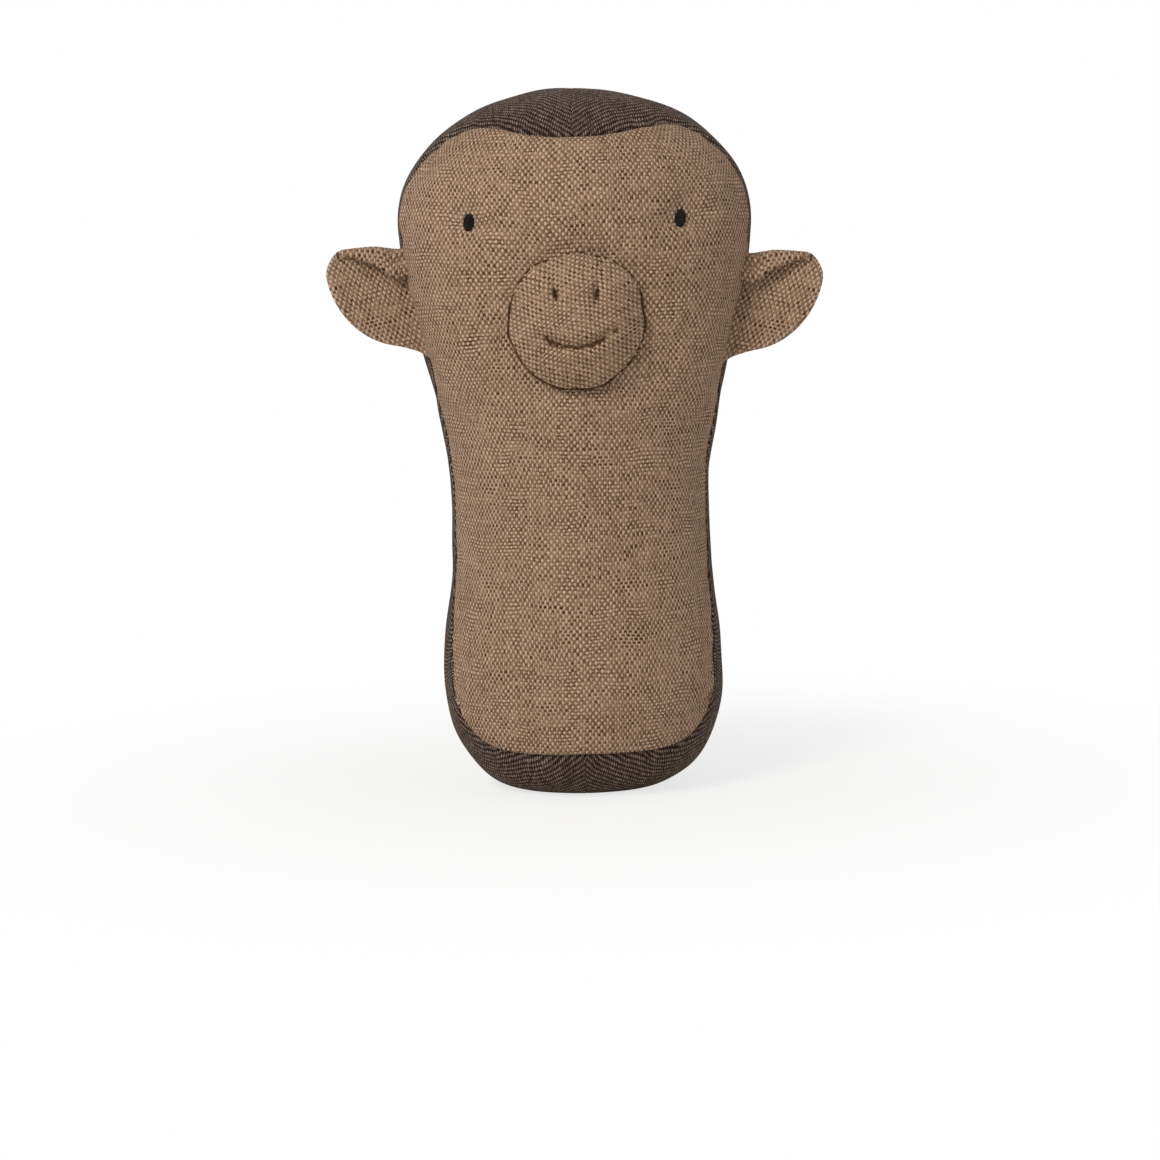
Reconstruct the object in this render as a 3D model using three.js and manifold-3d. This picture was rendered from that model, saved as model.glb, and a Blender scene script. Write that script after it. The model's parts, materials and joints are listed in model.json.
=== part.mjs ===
// A soft hand rattle in the shape of a standing monkey: a linen skin sewn from a face panel and
// two back panels, folded linen ears, embroidered features, fibre filling, and a capsule of
// loose beads in the head. Millimetres, +Z up, the face towards -Y, the origin on the floor
// under the middle of the toy.
import * as THREE from "three";
import { mergeVertices } from "three/addons/utils/BufferGeometryUtils.js";
import Module from "manifold-3d";

const wasm = await Module();
wasm.setup();

const { lerp, degToRad } = THREE.MathUtils;

// Outline of the stuffed skin: half widths at heights above the floor
const toyHeight = 141;
const cheekHeight = 115;
const cheekHalfWidth = 35.5;
const waistHeight = 56;
const waistHalfWidth = 26;
const bellyHeight = 22;
const bellyHalfWidth = 28.5;
const footFlatHalfWidth = 12;
const frontDepthRatio = 0.86; // front depth of a level section over its half width
const backDepthRatio = 0.92;

// Cloth, thread and clearances
const clothThickness = 0.8;
const fitGap = 0.3;
const fillingGap = 1; // between the skin and the filling, wider because both are faceted
const threadRadius = 0.2;
const seamClearance = 0.4; // thread to panel edge
const seamGap = 2 * (threadRadius + seamClearance);

// The seam round the face panel: where it crosses the middle of the front, how far round the
// sides it lies, and how square its corners are
const seamBelowCrown = 7;
const seamFootHeight = 9.8;
const seamSideAngle = degToRad(76);
const seamTopSquareness = 5.3;
const seamFootSquareness = 4.6;
const hairPeakDrop = 2.5;
const hairPeakAngle = degToRad(32);

// The stretch of the back seam that was left open for filling and then closed by hand, as
// shares of the seam's turn from the crown to the foot
const closingStart = 0.5;
const closingEnd = 0.62;

// Muzzle: a round linen patch raised by a wad of filling
const muzzleRadius = 13.1;
const muzzleHeight = 95.5;
const muzzleRise = 2.2;
const muzzleHem = 1.5; // the patch's margin outside the wad
const muzzleFullness = 2.5; // 2 gives a parabola, more a flatter top and steeper edge
const wadEdge = 0.1; // thickness of the wad's edge

// Embroidered features
const eyeHalfWidth = 1.05;
const eyeHalfHeight = 1.95;
const eyeSpacing = 41;
const eyeHeight = 115;
const eyeRise = 0.6;
const nostrilHalfWidth = 0.45;
const nostrilHalfHeight = 1.6;
const nostrilSpacing = 8;
const nostrilAboveMuzzle = 5.9;
const nostrilRise = 0.5;
const mouthHalfWidth = 7;
const mouthBelowMuzzle = 4.6;
const mouthCornerLift = 2.5;
const mouthThreadRadius = 0.35;
const stitchEdge = 0.15; // thickness of an embroidered oval's edge

// Ears: two layers of linen, the top rolled forwards
const earReach = 14.5;
const earMiddleHeight = 102.5; // where it reaches out furthest
const earUpperCut = 12.4; // height of the flat cloth above the middle, the fold included
const earLowerCut = 14;
const earUpperTaper = 1.4; // 1 gives a quarter ellipse, more a slimmer one, less a fuller one
const earLowerTaper = 0.75;
const earFoldAboveMiddle = 5.3; // top of the rolled edge
const earFoldDroop = 1.2; // how much lower the rolled edge lies at the outer end
const earRollRadius = 1.3;
const earRollAngle = degToRad(165);
const earCup = 1.6; // how far the rim leans forwards
const earStandOff = 0.95; // base edge to seam, so that the ear can bend there
const earEndAngle = degToRad(80); // where the outline is cut off, top and bottom

// Rattle capsule and beads
const capsuleRadius = 14;
const capsuleHeight = 19;
const capsuleWall = 1.7;
const capsuleCorner = 3;
const capsuleLap = 2.4; // overlap of the cup's lip and the lid's skirt
const capsuleBelowCheek = 5.5;
const beadCount = 6;
const beadRadius = 2;
const beadRingRadius = 7;
const fillingSplitHeight = 79; // where the head's filling meets the body's

// How finely each form is faceted
const facePanelRows = 24;
const facePanelColumns = 12;
const backPanelRows = 34;
const backPanelColumns = 10;
const earFlapRows = 6;
const earRollRows = 8;
const earLowerRows = 12;
const earColumns = 4;
const fillingSegments = 20;
const fillingRings = 16;
const roundSegments = 20;
const domeRings = 6;
const stitchSegments = 10;
const stitchRings = 3;
const cornerSteps = 4;
const beadSegments = 12;
const beadRings = 8;
const threadSides = 4;
const seamSteps = 80;
const shortSteps = 24;

const tanLinen = new THREE.MeshStandardMaterial({ color: "#927760", roughness: 0.95 });
const darkLinen = new THREE.MeshStandardMaterial({ color: "#51443b", roughness: 0.95 });
const blackThread = new THREE.MeshStandardMaterial({ color: "#29241d", roughness: 0.7 });
const brownThread = new THREE.MeshStandardMaterial({ color: "#4a3a2c", roughness: 0.8 });
const fibreFill = new THREE.MeshStandardMaterial({ color: "#f0eee8", roughness: 1 });
const capsulePlastic = new THREE.MeshStandardMaterial({ color: "#e8e6df", roughness: 0.35 });
const beadPlastic = new THREE.MeshStandardMaterial({ color: "#c9b27c", roughness: 0.4 });

const toy = new THREE.Group();

function addPiece(name, geometry, material) {
  const mesh = new THREE.Mesh(geometry, material);
  mesh.name = name;
  toy.add(mesh);
}

// The stuffed form

const ease = (t) => t * t * (3 - 2 * t);
const quarter = (share) => Math.sqrt(Math.max(0, 1 - share * share));
const depthRatio = (y) => (y < 0 ? frontDepthRatio : backDepthRatio);

// Half width of the form at a height, on the surface that lies an inset under the outer skin.
// The crown and the foot are quarter ellipses, and smooth steps join belly, waist and cheeks.
function halfWidth(z, inset = 0) {
  if (z < bellyHeight) {
    const corner = bellyHalfWidth - inset - footFlatHalfWidth;
    return footFlatHalfWidth + corner * quarter((bellyHeight - z) / (bellyHeight - inset));
  }
  if (z < waistHeight) {
    const share = ease((z - bellyHeight) / (waistHeight - bellyHeight));
    return lerp(bellyHalfWidth, waistHalfWidth, share) - inset;
  }
  if (z < cheekHeight) {
    const share = ease((z - waistHeight) / (cheekHeight - waistHeight));
    return lerp(waistHalfWidth, cheekHalfWidth, share) - inset;
  }
  return (cheekHalfWidth - inset) * quarter((z - cheekHeight) / (toyHeight - inset - cheekHeight));
}

// A point of the surface, by its angle round from the front and its height
function skinPoint(angle, z, inset = 0) {
  const w = halfWidth(z, inset);
  const y = -w * Math.cos(angle);
  return new THREE.Vector3(w * Math.sin(angle), y * depthRatio(y), z);
}

// The front of the surface, as a depth over the front view
function faceDepth(x, z) {
  return -frontDepthRatio * Math.sqrt(Math.max(0, halfWidth(z) ** 2 - x * x));
}

// Where a ray from inside the form meets its surface, found by halving the span
function castToSkin(from, direction, inset = 0) {
  const halvings = 40;
  let near = 0;
  let far = 2 * toyHeight;
  for (let i = 0; i < halvings; i++) {
    const middle = (near + far) / 2;
    const p = from.clone().addScaledVector(direction, middle);
    const level = p.z > inset && p.z < toyHeight - inset;
    if (level && Math.hypot(p.x, p.y / depthRatio(p.y)) < halfWidth(p.z, inset)) near = middle;
    else far = middle;
  }
  return from.clone().addScaledVector(direction, near);
}

// The seam round the face panel

const seamTopHeight = toyHeight - seamBelowCrown;
const seamMiddleHeight = (seamTopHeight + seamFootHeight) / 2;
const seamHalfHeight = (seamTopHeight - seamFootHeight) / 2;

// Angle and height on the skin of a place in the face panel: turn runs round from the top,
// share is 1 on the seam and 0 in the middle, and offset widens the panel. Seen flat, the
// panel is a rectangle with round corners whose top edge dips to a peak.
function facePlace(turn, share, offset) {
  const across = Math.sin(turn);
  const up = Math.cos(turn);
  const power = up > 0 ? seamTopSquareness : seamFootSquareness;
  const reach = share * (Math.abs(across) ** power + Math.abs(up) ** power) ** (-1 / power);
  const peak = Math.exp(-(((reach * across * seamSideAngle) / hairPeakAngle) ** 2));
  const drop = hairPeakDrop * peak * share * ease(Math.max(0, up));
  const z = seamMiddleHeight + (seamHalfHeight + offset) * reach * up - drop;
  const angle = reach * across * (seamSideAngle + offset / halfWidth(z));
  return { angle, z };
}

function seamPoint(turn, offset, inset = 0) {
  const place = facePlace(turn, 1, offset);
  return skinPoint(place.angle, place.z, inset);
}

// The seam's angle round the side at a height
function seamAngleAt(z) {
  const up = Math.min(1, Math.abs(z - seamMiddleHeight) / seamHalfHeight);
  return seamSideAngle * (1 - up ** seamTopSquareness) ** (1 / seamTopSquareness);
}

// Solids from sheets, tubes, pads and turned profiles

function signedVolume(points, faces) {
  let sum = 0;
  for (let i = 0; i < faces.length; i += 3) {
    const [a, b, c] = [points[faces[i]], points[faces[i + 1]], points[faces[i + 2]]];
    sum += a.dot(b.clone().cross(c)) / 6;
  }
  return sum;
}

// A closed sheet between two surfaces, each a function of two shares from 0 to 1
function sheetSolid(outerAt, innerAt, rows, columns) {
  const points = [];
  for (const surfaceAt of [outerAt, innerAt]) {
    for (let i = 0; i <= rows; i++) {
      for (let j = 0; j <= columns; j++) points.push(surfaceAt(i / rows, j / columns));
    }
  }
  const inner = (rows + 1) * (columns + 1);
  const at = (i, j) => i * (columns + 1) + j;
  const faces = [];
  // Four corners in order, cut along the shorter diagonal
  const quad = (a, b, c, d) => {
    if (points[a].distanceTo(points[c]) < points[b].distanceTo(points[d])) faces.push(a, b, c, a, c, d);
    else faces.push(a, b, d, b, c, d);
  };
  for (let i = 0; i < rows; i++) {
    for (let j = 0; j < columns; j++) {
      const [a, b, c, d] = [at(i, j), at(i, j + 1), at(i + 1, j + 1), at(i + 1, j)];
      quad(a, b, c, d);
      quad(d + inner, c + inner, b + inner, a + inner);
    }
  }
  const rim = [];
  for (let j = 0; j < columns; j++) rim.push(at(0, j));
  for (let i = 0; i < rows; i++) rim.push(at(i, columns));
  for (let j = columns; j > 0; j--) rim.push(at(rows, j));
  for (let i = rows; i > 0; i--) rim.push(at(i, 0));
  rim.forEach((a, k) => {
    const b = rim[(k + 1) % rim.length];
    quad(b, a, a + inner, b + inner);
  });
  if (signedVolume(points, faces) < 0) faces.reverse();
  return new THREE.BufferGeometry().setFromPoints(points).setIndex(faces);
}

// A round thread through points given by a function of a share from 0 to 1
function threadSolid(pointAt, radius, steps) {
  const points = [...Array(steps + 1).keys()].map((i) => pointAt(i / steps));
  const section = new THREE.Shape().absarc(0, 0, radius, 0, 2 * Math.PI);
  return new THREE.ExtrudeGeometry(section, {
    steps,
    curveSegments: threadSides / 2, // a full circle takes two points for each
    extrudePath: new THREE.CatmullRomCurve3(points),
  });
}

// A pad that follows a surface of the face. The two lifts off the surface, of the pad's
// underside and of its top, are functions of the distance from its middle as a share.
function padSolid(surfaceAt, middle, halfSize, segments, rings, underLift, topLift) {
  const shares = [...Array(rings + 1).keys()].map((i) => i / rings);
  const under = shares.map((share) => new THREE.Vector2(share, underLift(share)));
  const top = shares.toReversed().map((share) => new THREE.Vector2(share, topLift(share)));
  const geometry = new THREE.LatheGeometry([...under, ...top], segments);
  const place = geometry.attributes.position;
  for (let i = 0; i < place.count; i++) {
    const x = middle.x - halfSize.x * place.getX(i);
    const z = middle.y + halfSize.y * place.getZ(i);
    place.setXYZ(i, x, surfaceAt(x, z) - place.getY(i), z);
  }
  return geometry;
}

// A profile of radius and height turned about the vertical axis
function turnedSolid(profile, segments) {
  const points = profile.map(([radius, height]) => new THREE.Vector2(radius, height));
  return new THREE.LatheGeometry(points, segments).rotateX(Math.PI / 2);
}

function manifoldOf(geometry) {
  const bare = geometry.clone().deleteAttribute("normal").deleteAttribute("uv");
  const merged = mergeVertices(bare);
  const mesh = new wasm.Mesh({
    numProp: 3,
    vertProperties: merged.attributes.position.array,
    triVerts: new Uint32Array(merged.index.array),
  });
  return new wasm.Manifold(mesh);
}

function geometryOf(solid) {
  const mesh = solid.getMesh();
  return new THREE.BufferGeometry()
    .setAttribute("position", new THREE.BufferAttribute(mesh.vertProperties, 3))
    .setIndex(new THREE.BufferAttribute(mesh.triVerts, 1));
}

// Face panel: a square grid drawn out to the panel's rounded shape

function facePanelAt(inset) {
  return (down, along) => {
    const s = 2 * along - 1;
    const t = 1 - 2 * down;
    const u = s * Math.sqrt(1 - (t * t) / 2);
    const v = t * Math.sqrt(1 - (s * s) / 2);
    const place = facePlace(Math.atan2(u, v), Math.hypot(u, v), -seamGap / 2);
    return skinPoint(place.angle, place.z, inset);
  };
}

addPiece(
  "face_panel",
  sheetSolid(facePanelAt(0), facePanelAt(clothThickness), facePanelRows, facePanelColumns),
  tanLinen,
);

// Back panels: each row runs from the face seam to the middle of the back. It is cast from a
// place on the toy's axis, and the rows turn from the hair peak over the crown, down the back
// and under the foot to the front.

const castTopShare = 0.9; // of the way from the waist up to the cheeks
const castFootShare = 0.2; // of the way from the belly up to the waist
const castTopHeight = lerp(waistHeight, cheekHeight, castTopShare);
const castFootHeight = lerp(bellyHeight, waistHeight, castFootShare);
const panelEnd = 0.02; // share of the seam left open where the three panels meet
const topSeam = seamPoint(0, seamGap / 2);
const footSeam = seamPoint(Math.PI, seamGap / 2);
const topTurn = Math.atan2(topSeam.z - castTopHeight, topSeam.y);
const footTurn = Math.atan2(footSeam.z - castFootHeight, footSeam.y);

// The ray to the middle of the back, for a turn from the hair peak to the foot
function backRay(turn) {
  const up = 1 - turn / (Math.PI / 2);
  const lift = up > 0 ? up * topTurn : -up * footTurn;
  const height = lerp(castFootHeight, castTopHeight, (1 + Math.cos(turn)) / 2);
  return {
    from: new THREE.Vector3(0, 0, height),
    direction: new THREE.Vector3(0, Math.cos(lift), Math.sin(lift)),
  };
}

function backPanelAt(side, inset) {
  return (down, along) => {
    const turn = Math.PI * lerp(panelEnd, 1 - panelEnd, down);
    const { from, direction } = backRay(turn);
    from.x = (side * seamGap) / 2;
    const toSeam = seamPoint(side * turn, seamGap / 2).sub(from).normalize();
    const apart = toSeam.angleTo(direction);
    const blended = toSeam
      .multiplyScalar(Math.sin((1 - along) * apart))
      .addScaledVector(direction, Math.sin(along * apart))
      .normalize();
    return castToSkin(from, blended, inset);
  };
}

const sides = [["left", -1], ["right", 1]];
for (const [name, side] of sides) {
  const outerAt = backPanelAt(side, 0);
  const innerAt = backPanelAt(side, clothThickness);
  const panel = sheetSolid(outerAt, innerAt, backPanelRows, backPanelColumns);
  addPiece(`back_panel_${name}`, panel, darkLinen);
}

// Seam threads, in the grooves between the panels

const threadInset = clothThickness / 2;
const threadEnd = 0.008; // share of a run left open at its end

function faceSeamAt(share) {
  const turn = 2 * Math.PI * lerp(threadEnd, 1 - threadEnd, share);
  return seamPoint(turn, 0, threadInset);
}

function backSeamAt(share) {
  const { from, direction } = backRay(Math.PI * share);
  return castToSkin(from, direction, threadInset);
}

addPiece("face_seam_thread", threadSolid(faceSeamAt, threadRadius, seamSteps), brownThread);

const backSeamRuns = [
  ["back_seam_thread_upper", threadEnd, closingStart - threadEnd],
  ["closing_thread", closingStart, closingEnd],
  ["back_seam_thread_lower", closingEnd + threadEnd, 1 - threadEnd],
];
for (const [name, start, end] of backSeamRuns) {
  const runAt = (share) => backSeamAt(lerp(start, end, share));
  addPiece(name, threadSolid(runAt, threadRadius, shortSteps), brownThread);
}

// Muzzle patch, its wad and the stitching round its edge

const wadRadius = muzzleRadius - muzzleHem;
const muzzleMiddle = new THREE.Vector2(0, muzzleHeight);
const arch = (share) => muzzleRise * (1 - Math.min(1, share) ** muzzleFullness);

// Lift of the patch's underside off the face panel: over the wad, then down across the hem
function patchLift(radius) {
  if (radius < wadRadius) return 2 * fitGap + wadEdge + arch(radius / wadRadius);
  return lerp(fitGap, 2 * fitGap + wadEdge, Math.max(0, (muzzleRadius - radius) / muzzleHem));
}

function muzzleDepth(x, z) {
  const radius = Math.hypot(x, z - muzzleHeight);
  return faceDepth(x, z) - patchLift(radius) - clothThickness;
}

addPiece(
  "muzzle_wad",
  padSolid(
    faceDepth,
    muzzleMiddle,
    new THREE.Vector2(wadRadius, wadRadius),
    roundSegments,
    domeRings,
    () => fitGap,
    (share) => fitGap + wadEdge + arch(share),
  ),
  fibreFill,
);
addPiece(
  "muzzle_patch",
  padSolid(
    faceDepth,
    muzzleMiddle,
    new THREE.Vector2(muzzleRadius, muzzleRadius),
    roundSegments,
    domeRings,
    (share) => patchLift(share * muzzleRadius),
    (share) => patchLift(share * muzzleRadius) + clothThickness,
  ),
  tanLinen,
);

function muzzleEdgeAt(share) {
  const turn = 2 * Math.PI * lerp(threadEnd, 1 - threadEnd, share);
  const radius = muzzleRadius + fitGap + threadRadius;
  const x = radius * Math.sin(turn);
  const z = muzzleHeight - radius * Math.cos(turn);
  return new THREE.Vector3(x, faceDepth(x, z) - fitGap - threadRadius, z);
}
addPiece("muzzle_thread", threadSolid(muzzleEdgeAt, threadRadius, shortSteps), brownThread);

// Embroidered eyes, nostrils and mouth

function stitchedOval(surfaceAt, x, z, halfSizeX, halfSizeZ, rise) {
  return padSolid(
    (px, pz) => surfaceAt(px, pz) - fitGap,
    new THREE.Vector2(x, z),
    new THREE.Vector2(halfSizeX, halfSizeZ),
    stitchSegments,
    stitchRings,
    () => 0,
    (share) => lerp(stitchEdge, rise, quarter(share)),
  );
}

for (const [name, side] of sides) {
  const eyeX = (side * eyeSpacing) / 2;
  const eye = stitchedOval(faceDepth, eyeX, eyeHeight, eyeHalfWidth, eyeHalfHeight, eyeRise);
  addPiece(`eye_${name}`, eye, blackThread);
  const nostrilX = (side * nostrilSpacing) / 2;
  const nostrilZ = muzzleHeight + nostrilAboveMuzzle;
  const nostrilSize = [nostrilHalfWidth, nostrilHalfHeight, nostrilRise];
  const nostril = stitchedOval(muzzleDepth, nostrilX, nostrilZ, ...nostrilSize);
  addPiece(`nostril_${name}`, nostril, brownThread);
}

function mouthAt(share) {
  const across = 2 * share - 1;
  const x = across * mouthHalfWidth;
  const z = muzzleHeight - mouthBelowMuzzle + mouthCornerLift * across * across;
  return new THREE.Vector3(x, muzzleDepth(x, z) - fitGap - mouthThreadRadius, z);
}
addPiece("mouth_thread", threadSolid(mouthAt, mouthThreadRadius, shortSteps), brownThread);

// Ears: the cloth stands out from the seam, and its top rolls forwards and hangs down as a flap

const earRows = earFlapRows + earRollRows + earLowerRows;
const foldStart = earFoldAboveMiddle - earRollRadius;
const rollLength = earRollRadius * earRollAngle;
const rollStartTurn = Math.asin(foldStart / earUpperCut);
const rollEndTurn = Math.asin((foldStart + rollLength) / earUpperCut);

// Turn round the ear's outline from its top end to its foot, with rows of its own for the roll
function earTurnAt(down) {
  const row = down * earRows;
  if (row < earFlapRows) return lerp(earEndAngle, rollEndTurn, row / earFlapRows);
  const past = row - earFlapRows;
  if (past < earRollRows) return lerp(rollEndTurn, rollStartTurn, past / earRollRows);
  return lerp(rollStartTurn, -earEndAngle, (past - earRollRows) / earLowerRows);
}

function earMiddleAt(side, down, along) {
  const turn = earTurnAt(down);
  const [cut, taper] = turn > 0 ? [earUpperCut, earUpperTaper] : [earLowerCut, earLowerTaper];
  const up = cut * Math.sin(turn);
  const out = along * earReach * Math.cos(turn) ** taper;
  const fold = foldStart - earFoldDroop * (out / earReach) ** 2;
  const rolled = Math.max(0, up - fold);
  const roll = Math.min(rolled, rollLength) / earRollRadius;
  const flap = Math.max(0, rolled - rollLength);
  const rise = earRollRadius * Math.sin(roll) + flap * Math.cos(roll);
  const z = earMiddleHeight + Math.min(up, fold) + rise;
  const forward = earRollRadius * (1 - Math.cos(roll)) + flap * Math.sin(roll);
  const cup = earCup * (out / earReach) ** 2;
  const base = skinPoint(seamAngleAt(z), z);
  return new THREE.Vector3(side * (base.x + earStandOff + out), base.y - forward - cup, z);
}

// A surface of the ear, at an offset in front of its middle
function earSurfaceAt(side, offset) {
  const nudge = 1e-4;
  return (down, along) => {
    const point = earMiddleAt(side, down, along);
    const downwards = earMiddleAt(side, down + nudge, along).sub(point);
    const outwards = earMiddleAt(side, down, along + nudge).sub(point);
    const normal = downwards.cross(outwards).normalize();
    return point.addScaledVector(normal, side * offset);
  };
}

for (const [name, side] of sides) {
  for (const [layer, front] of [["front", 1], ["back", -1]]) {
    const innerAt = earSurfaceAt(side, (front * fitGap) / 2);
    const outerAt = earSurfaceAt(side, front * (fitGap / 2 + clothThickness));
    addPiece(`ear_${name}_${layer}`, sheetSolid(outerAt, innerAt, earRows, earColumns), tanLinen);
  }
}

// Rattle capsule: a cup and a lid with a lap joint at mid height

const capsuleFloor = cheekHeight - capsuleBelowCheek - capsuleHeight / 2;
const capsuleCeiling = capsuleFloor + capsuleHeight;
const lapBottom = capsuleFloor + (capsuleHeight - capsuleLap) / 2;
const lapTop = lapBottom + capsuleLap;
const capsuleBore = capsuleRadius - capsuleWall;
const lapWall = (capsuleWall - fitGap) / 2;

// A round corner from a flat end to a wall: tall is 1 for a floor and -1 for a ceiling
function cornerArc(radius, corner, end, tall) {
  return [...Array(cornerSteps + 1).keys()].map((i) => {
    const turn = (i / cornerSteps) * (Math.PI / 2);
    const out = radius - corner + corner * Math.sin(turn);
    return [out, end + tall * corner * (1 - Math.cos(turn))];
  });
}

const innerCorner = capsuleCorner - capsuleWall;
const innerFloor = capsuleFloor + capsuleWall;
const innerCeiling = capsuleCeiling - capsuleWall;
const cupProfile = [
  [0, capsuleFloor],
  ...cornerArc(capsuleRadius, capsuleCorner, capsuleFloor, 1),
  [capsuleRadius, lapBottom],
  [capsuleBore + lapWall, lapBottom],
  [capsuleBore + lapWall, lapTop],
  [capsuleBore, lapTop],
  ...cornerArc(capsuleBore, innerCorner, innerFloor, 1).toReversed(),
  [0, innerFloor],
];
const lidProfile = [
  [0, innerCeiling],
  ...cornerArc(capsuleBore, innerCorner, innerCeiling, -1),
  [capsuleBore, lapTop + fitGap],
  [capsuleRadius - lapWall, lapTop + fitGap],
  [capsuleRadius - lapWall, lapBottom + fitGap],
  [capsuleRadius, lapBottom + fitGap],
  ...cornerArc(capsuleRadius, capsuleCorner, capsuleCeiling, -1).toReversed(),
  [0, capsuleCeiling],
];
addPiece("capsule_cup", turnedSolid(cupProfile, roundSegments), capsulePlastic);
addPiece("capsule_lid", turnedSolid(lidProfile, roundSegments), capsulePlastic);

for (let i = 0; i < beadCount; i++) {
  const turn = (2 * Math.PI * i) / beadCount;
  const bead = new THREE.SphereGeometry(beadRadius, beadSegments, beadRings);
  bead.rotateX(Math.PI / 2);
  bead.translate(
    beadRingRadius * Math.sin(turn),
    -beadRingRadius * Math.cos(turn),
    innerFloor + fitGap + beadRadius,
  );
  addPiece(`bead_${i + 1}`, bead, beadPlastic);
}

// Filling: one wad fills the body, and two pack the head in front of the capsule and behind it

const fillingInset = clothThickness + fillingGap;
const fillingTop = toyHeight - fillingInset;

function fillingProfile(bottom, top) {
  const rings = [...Array(fillingRings + 1).keys()].map((i) => {
    const share = (1 - Math.cos((Math.PI * i) / fillingRings)) / 2;
    const z = lerp(bottom, top, share);
    return [halfWidth(z, fillingInset), z];
  });
  return [[0, bottom], ...rings, [0, top]];
}

// The turned form, drawn in to the depth of the front and of the back
function fillingSolid(bottom, top) {
  const geometry = turnedSolid(fillingProfile(bottom, top), fillingSegments);
  const place = geometry.attributes.position;
  for (let i = 0; i < place.count; i++) place.setY(i, place.getY(i) * depthRatio(place.getY(i)));
  return geometry;
}

addPiece("body_filling", fillingSolid(fillingInset, fillingSplitHeight - fitGap / 2), fibreFill);

const pocketRadius = capsuleRadius + fitGap;
const pocketProfile = [
  [0, capsuleFloor - fitGap],
  ...cornerArc(pocketRadius, capsuleCorner, capsuleFloor - fitGap, 1),
  ...cornerArc(pocketRadius, capsuleCorner, capsuleCeiling + fitGap, -1).toReversed(),
  [0, capsuleCeiling + fitGap],
];
const pocket = manifoldOf(turnedSolid(pocketProfile, roundSegments));
const headFilling = manifoldOf(fillingSolid(fillingSplitHeight + fitGap / 2, fillingTop));
for (const [name, side] of [["front", -1], ["back", 1]]) {
  const half = new THREE.BoxGeometry(2 * toyHeight, toyHeight, 2 * toyHeight);
  half.translate(0, (side * (toyHeight + fitGap)) / 2, toyHeight);
  const wad = headFilling.intersect(manifoldOf(half)).subtract(pocket);
  addPiece(`head_filling_${name}`, geometryOf(wad), fibreFill);
}

// The middle of the toy's depth, from the muzzle to the back of the head, stands over the origin
const depthSpan = new THREE.Box3().setFromObject(toy);
toy.position.y = -(depthSpan.min.y + depthSpan.max.y) / 2;

export default toy;
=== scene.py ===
# A soft monkey rattle of sewn linen: stuffed skin, folded ears, stitched face, bead capsule.
# Shapes are worked out in millimetres about the capsule's axis and put into the meshes in metres.
import json
import math

import bmesh
import bpy
import numpy as np
from mathutils import Matrix, Quaternion, Vector

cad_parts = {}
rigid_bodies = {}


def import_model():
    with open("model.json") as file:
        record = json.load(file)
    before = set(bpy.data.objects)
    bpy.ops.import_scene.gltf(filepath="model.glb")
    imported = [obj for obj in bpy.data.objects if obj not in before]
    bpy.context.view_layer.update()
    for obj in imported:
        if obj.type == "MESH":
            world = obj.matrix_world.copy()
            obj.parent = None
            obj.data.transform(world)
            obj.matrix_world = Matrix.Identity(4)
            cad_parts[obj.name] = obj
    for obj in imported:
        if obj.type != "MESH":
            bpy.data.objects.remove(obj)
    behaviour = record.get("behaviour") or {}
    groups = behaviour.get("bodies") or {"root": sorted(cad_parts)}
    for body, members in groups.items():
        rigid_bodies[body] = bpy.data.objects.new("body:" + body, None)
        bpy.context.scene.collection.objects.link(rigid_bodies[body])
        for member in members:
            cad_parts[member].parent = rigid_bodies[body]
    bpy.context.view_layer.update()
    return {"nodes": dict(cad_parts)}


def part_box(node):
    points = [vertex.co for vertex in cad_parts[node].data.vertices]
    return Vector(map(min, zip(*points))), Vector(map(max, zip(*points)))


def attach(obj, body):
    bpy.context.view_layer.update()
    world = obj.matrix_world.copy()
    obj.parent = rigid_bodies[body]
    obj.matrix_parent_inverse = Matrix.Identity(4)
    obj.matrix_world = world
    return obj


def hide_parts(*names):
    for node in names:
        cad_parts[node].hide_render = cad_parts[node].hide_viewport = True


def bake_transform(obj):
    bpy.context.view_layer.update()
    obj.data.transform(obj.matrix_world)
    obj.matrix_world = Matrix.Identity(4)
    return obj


for leftover in list(bpy.data.objects):
    bpy.data.objects.remove(leftover)

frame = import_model()
mm = 0.001
cupLow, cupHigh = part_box("capsule_cup")
depthShift = (cupLow.y + cupHigh.y) / 2  # the capsule's axis, in metres behind the frame's origin
sides = {"left": -1, "right": 1}
print("frame loaded:", len(frame["nodes"]), "nodes")

# Small sums


def ease(t):  # smooth step from 0 to 1: t squared times (3 - 2t)
    return t * t * (3 - 2 * t)


def quarter(share):  # height of a quarter circle at a share of its radius
    return np.sqrt(np.maximum(0, 1 - share * share))


def mix(low, high, share):  # a share of the way from low to high
    return low + (high - low) * share


def unit(vectors):  # each vector over its own length
    return vectors / np.maximum(np.linalg.norm(vectors, axis=-1, keepdims=True), 1e-9)


def crowd(share, amount):  # shares from -1 to 1, drawn towards both ends by part of a sine
    return mix(share, np.sin(share * np.pi / 2), amount)


def hill(distance, width):  # a bell curve of the distance
    return np.exp(-((distance / width) ** 2))


def rotated(x, y, angle):  # flat places turned about the origin by sines and cosines
    cos, sin = math.cos(angle), math.sin(angle)
    return np.stack([x * cos - y * sin, x * sin + y * cos], -1)


def lengthAlong(points, axis):  # the steps between points, added up along an axis of their grid
    start = np.take(points, [0], axis)
    return np.cumsum(np.linalg.norm(np.diff(points, axis=axis, prepend=start), axis=-1), axis)


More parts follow.
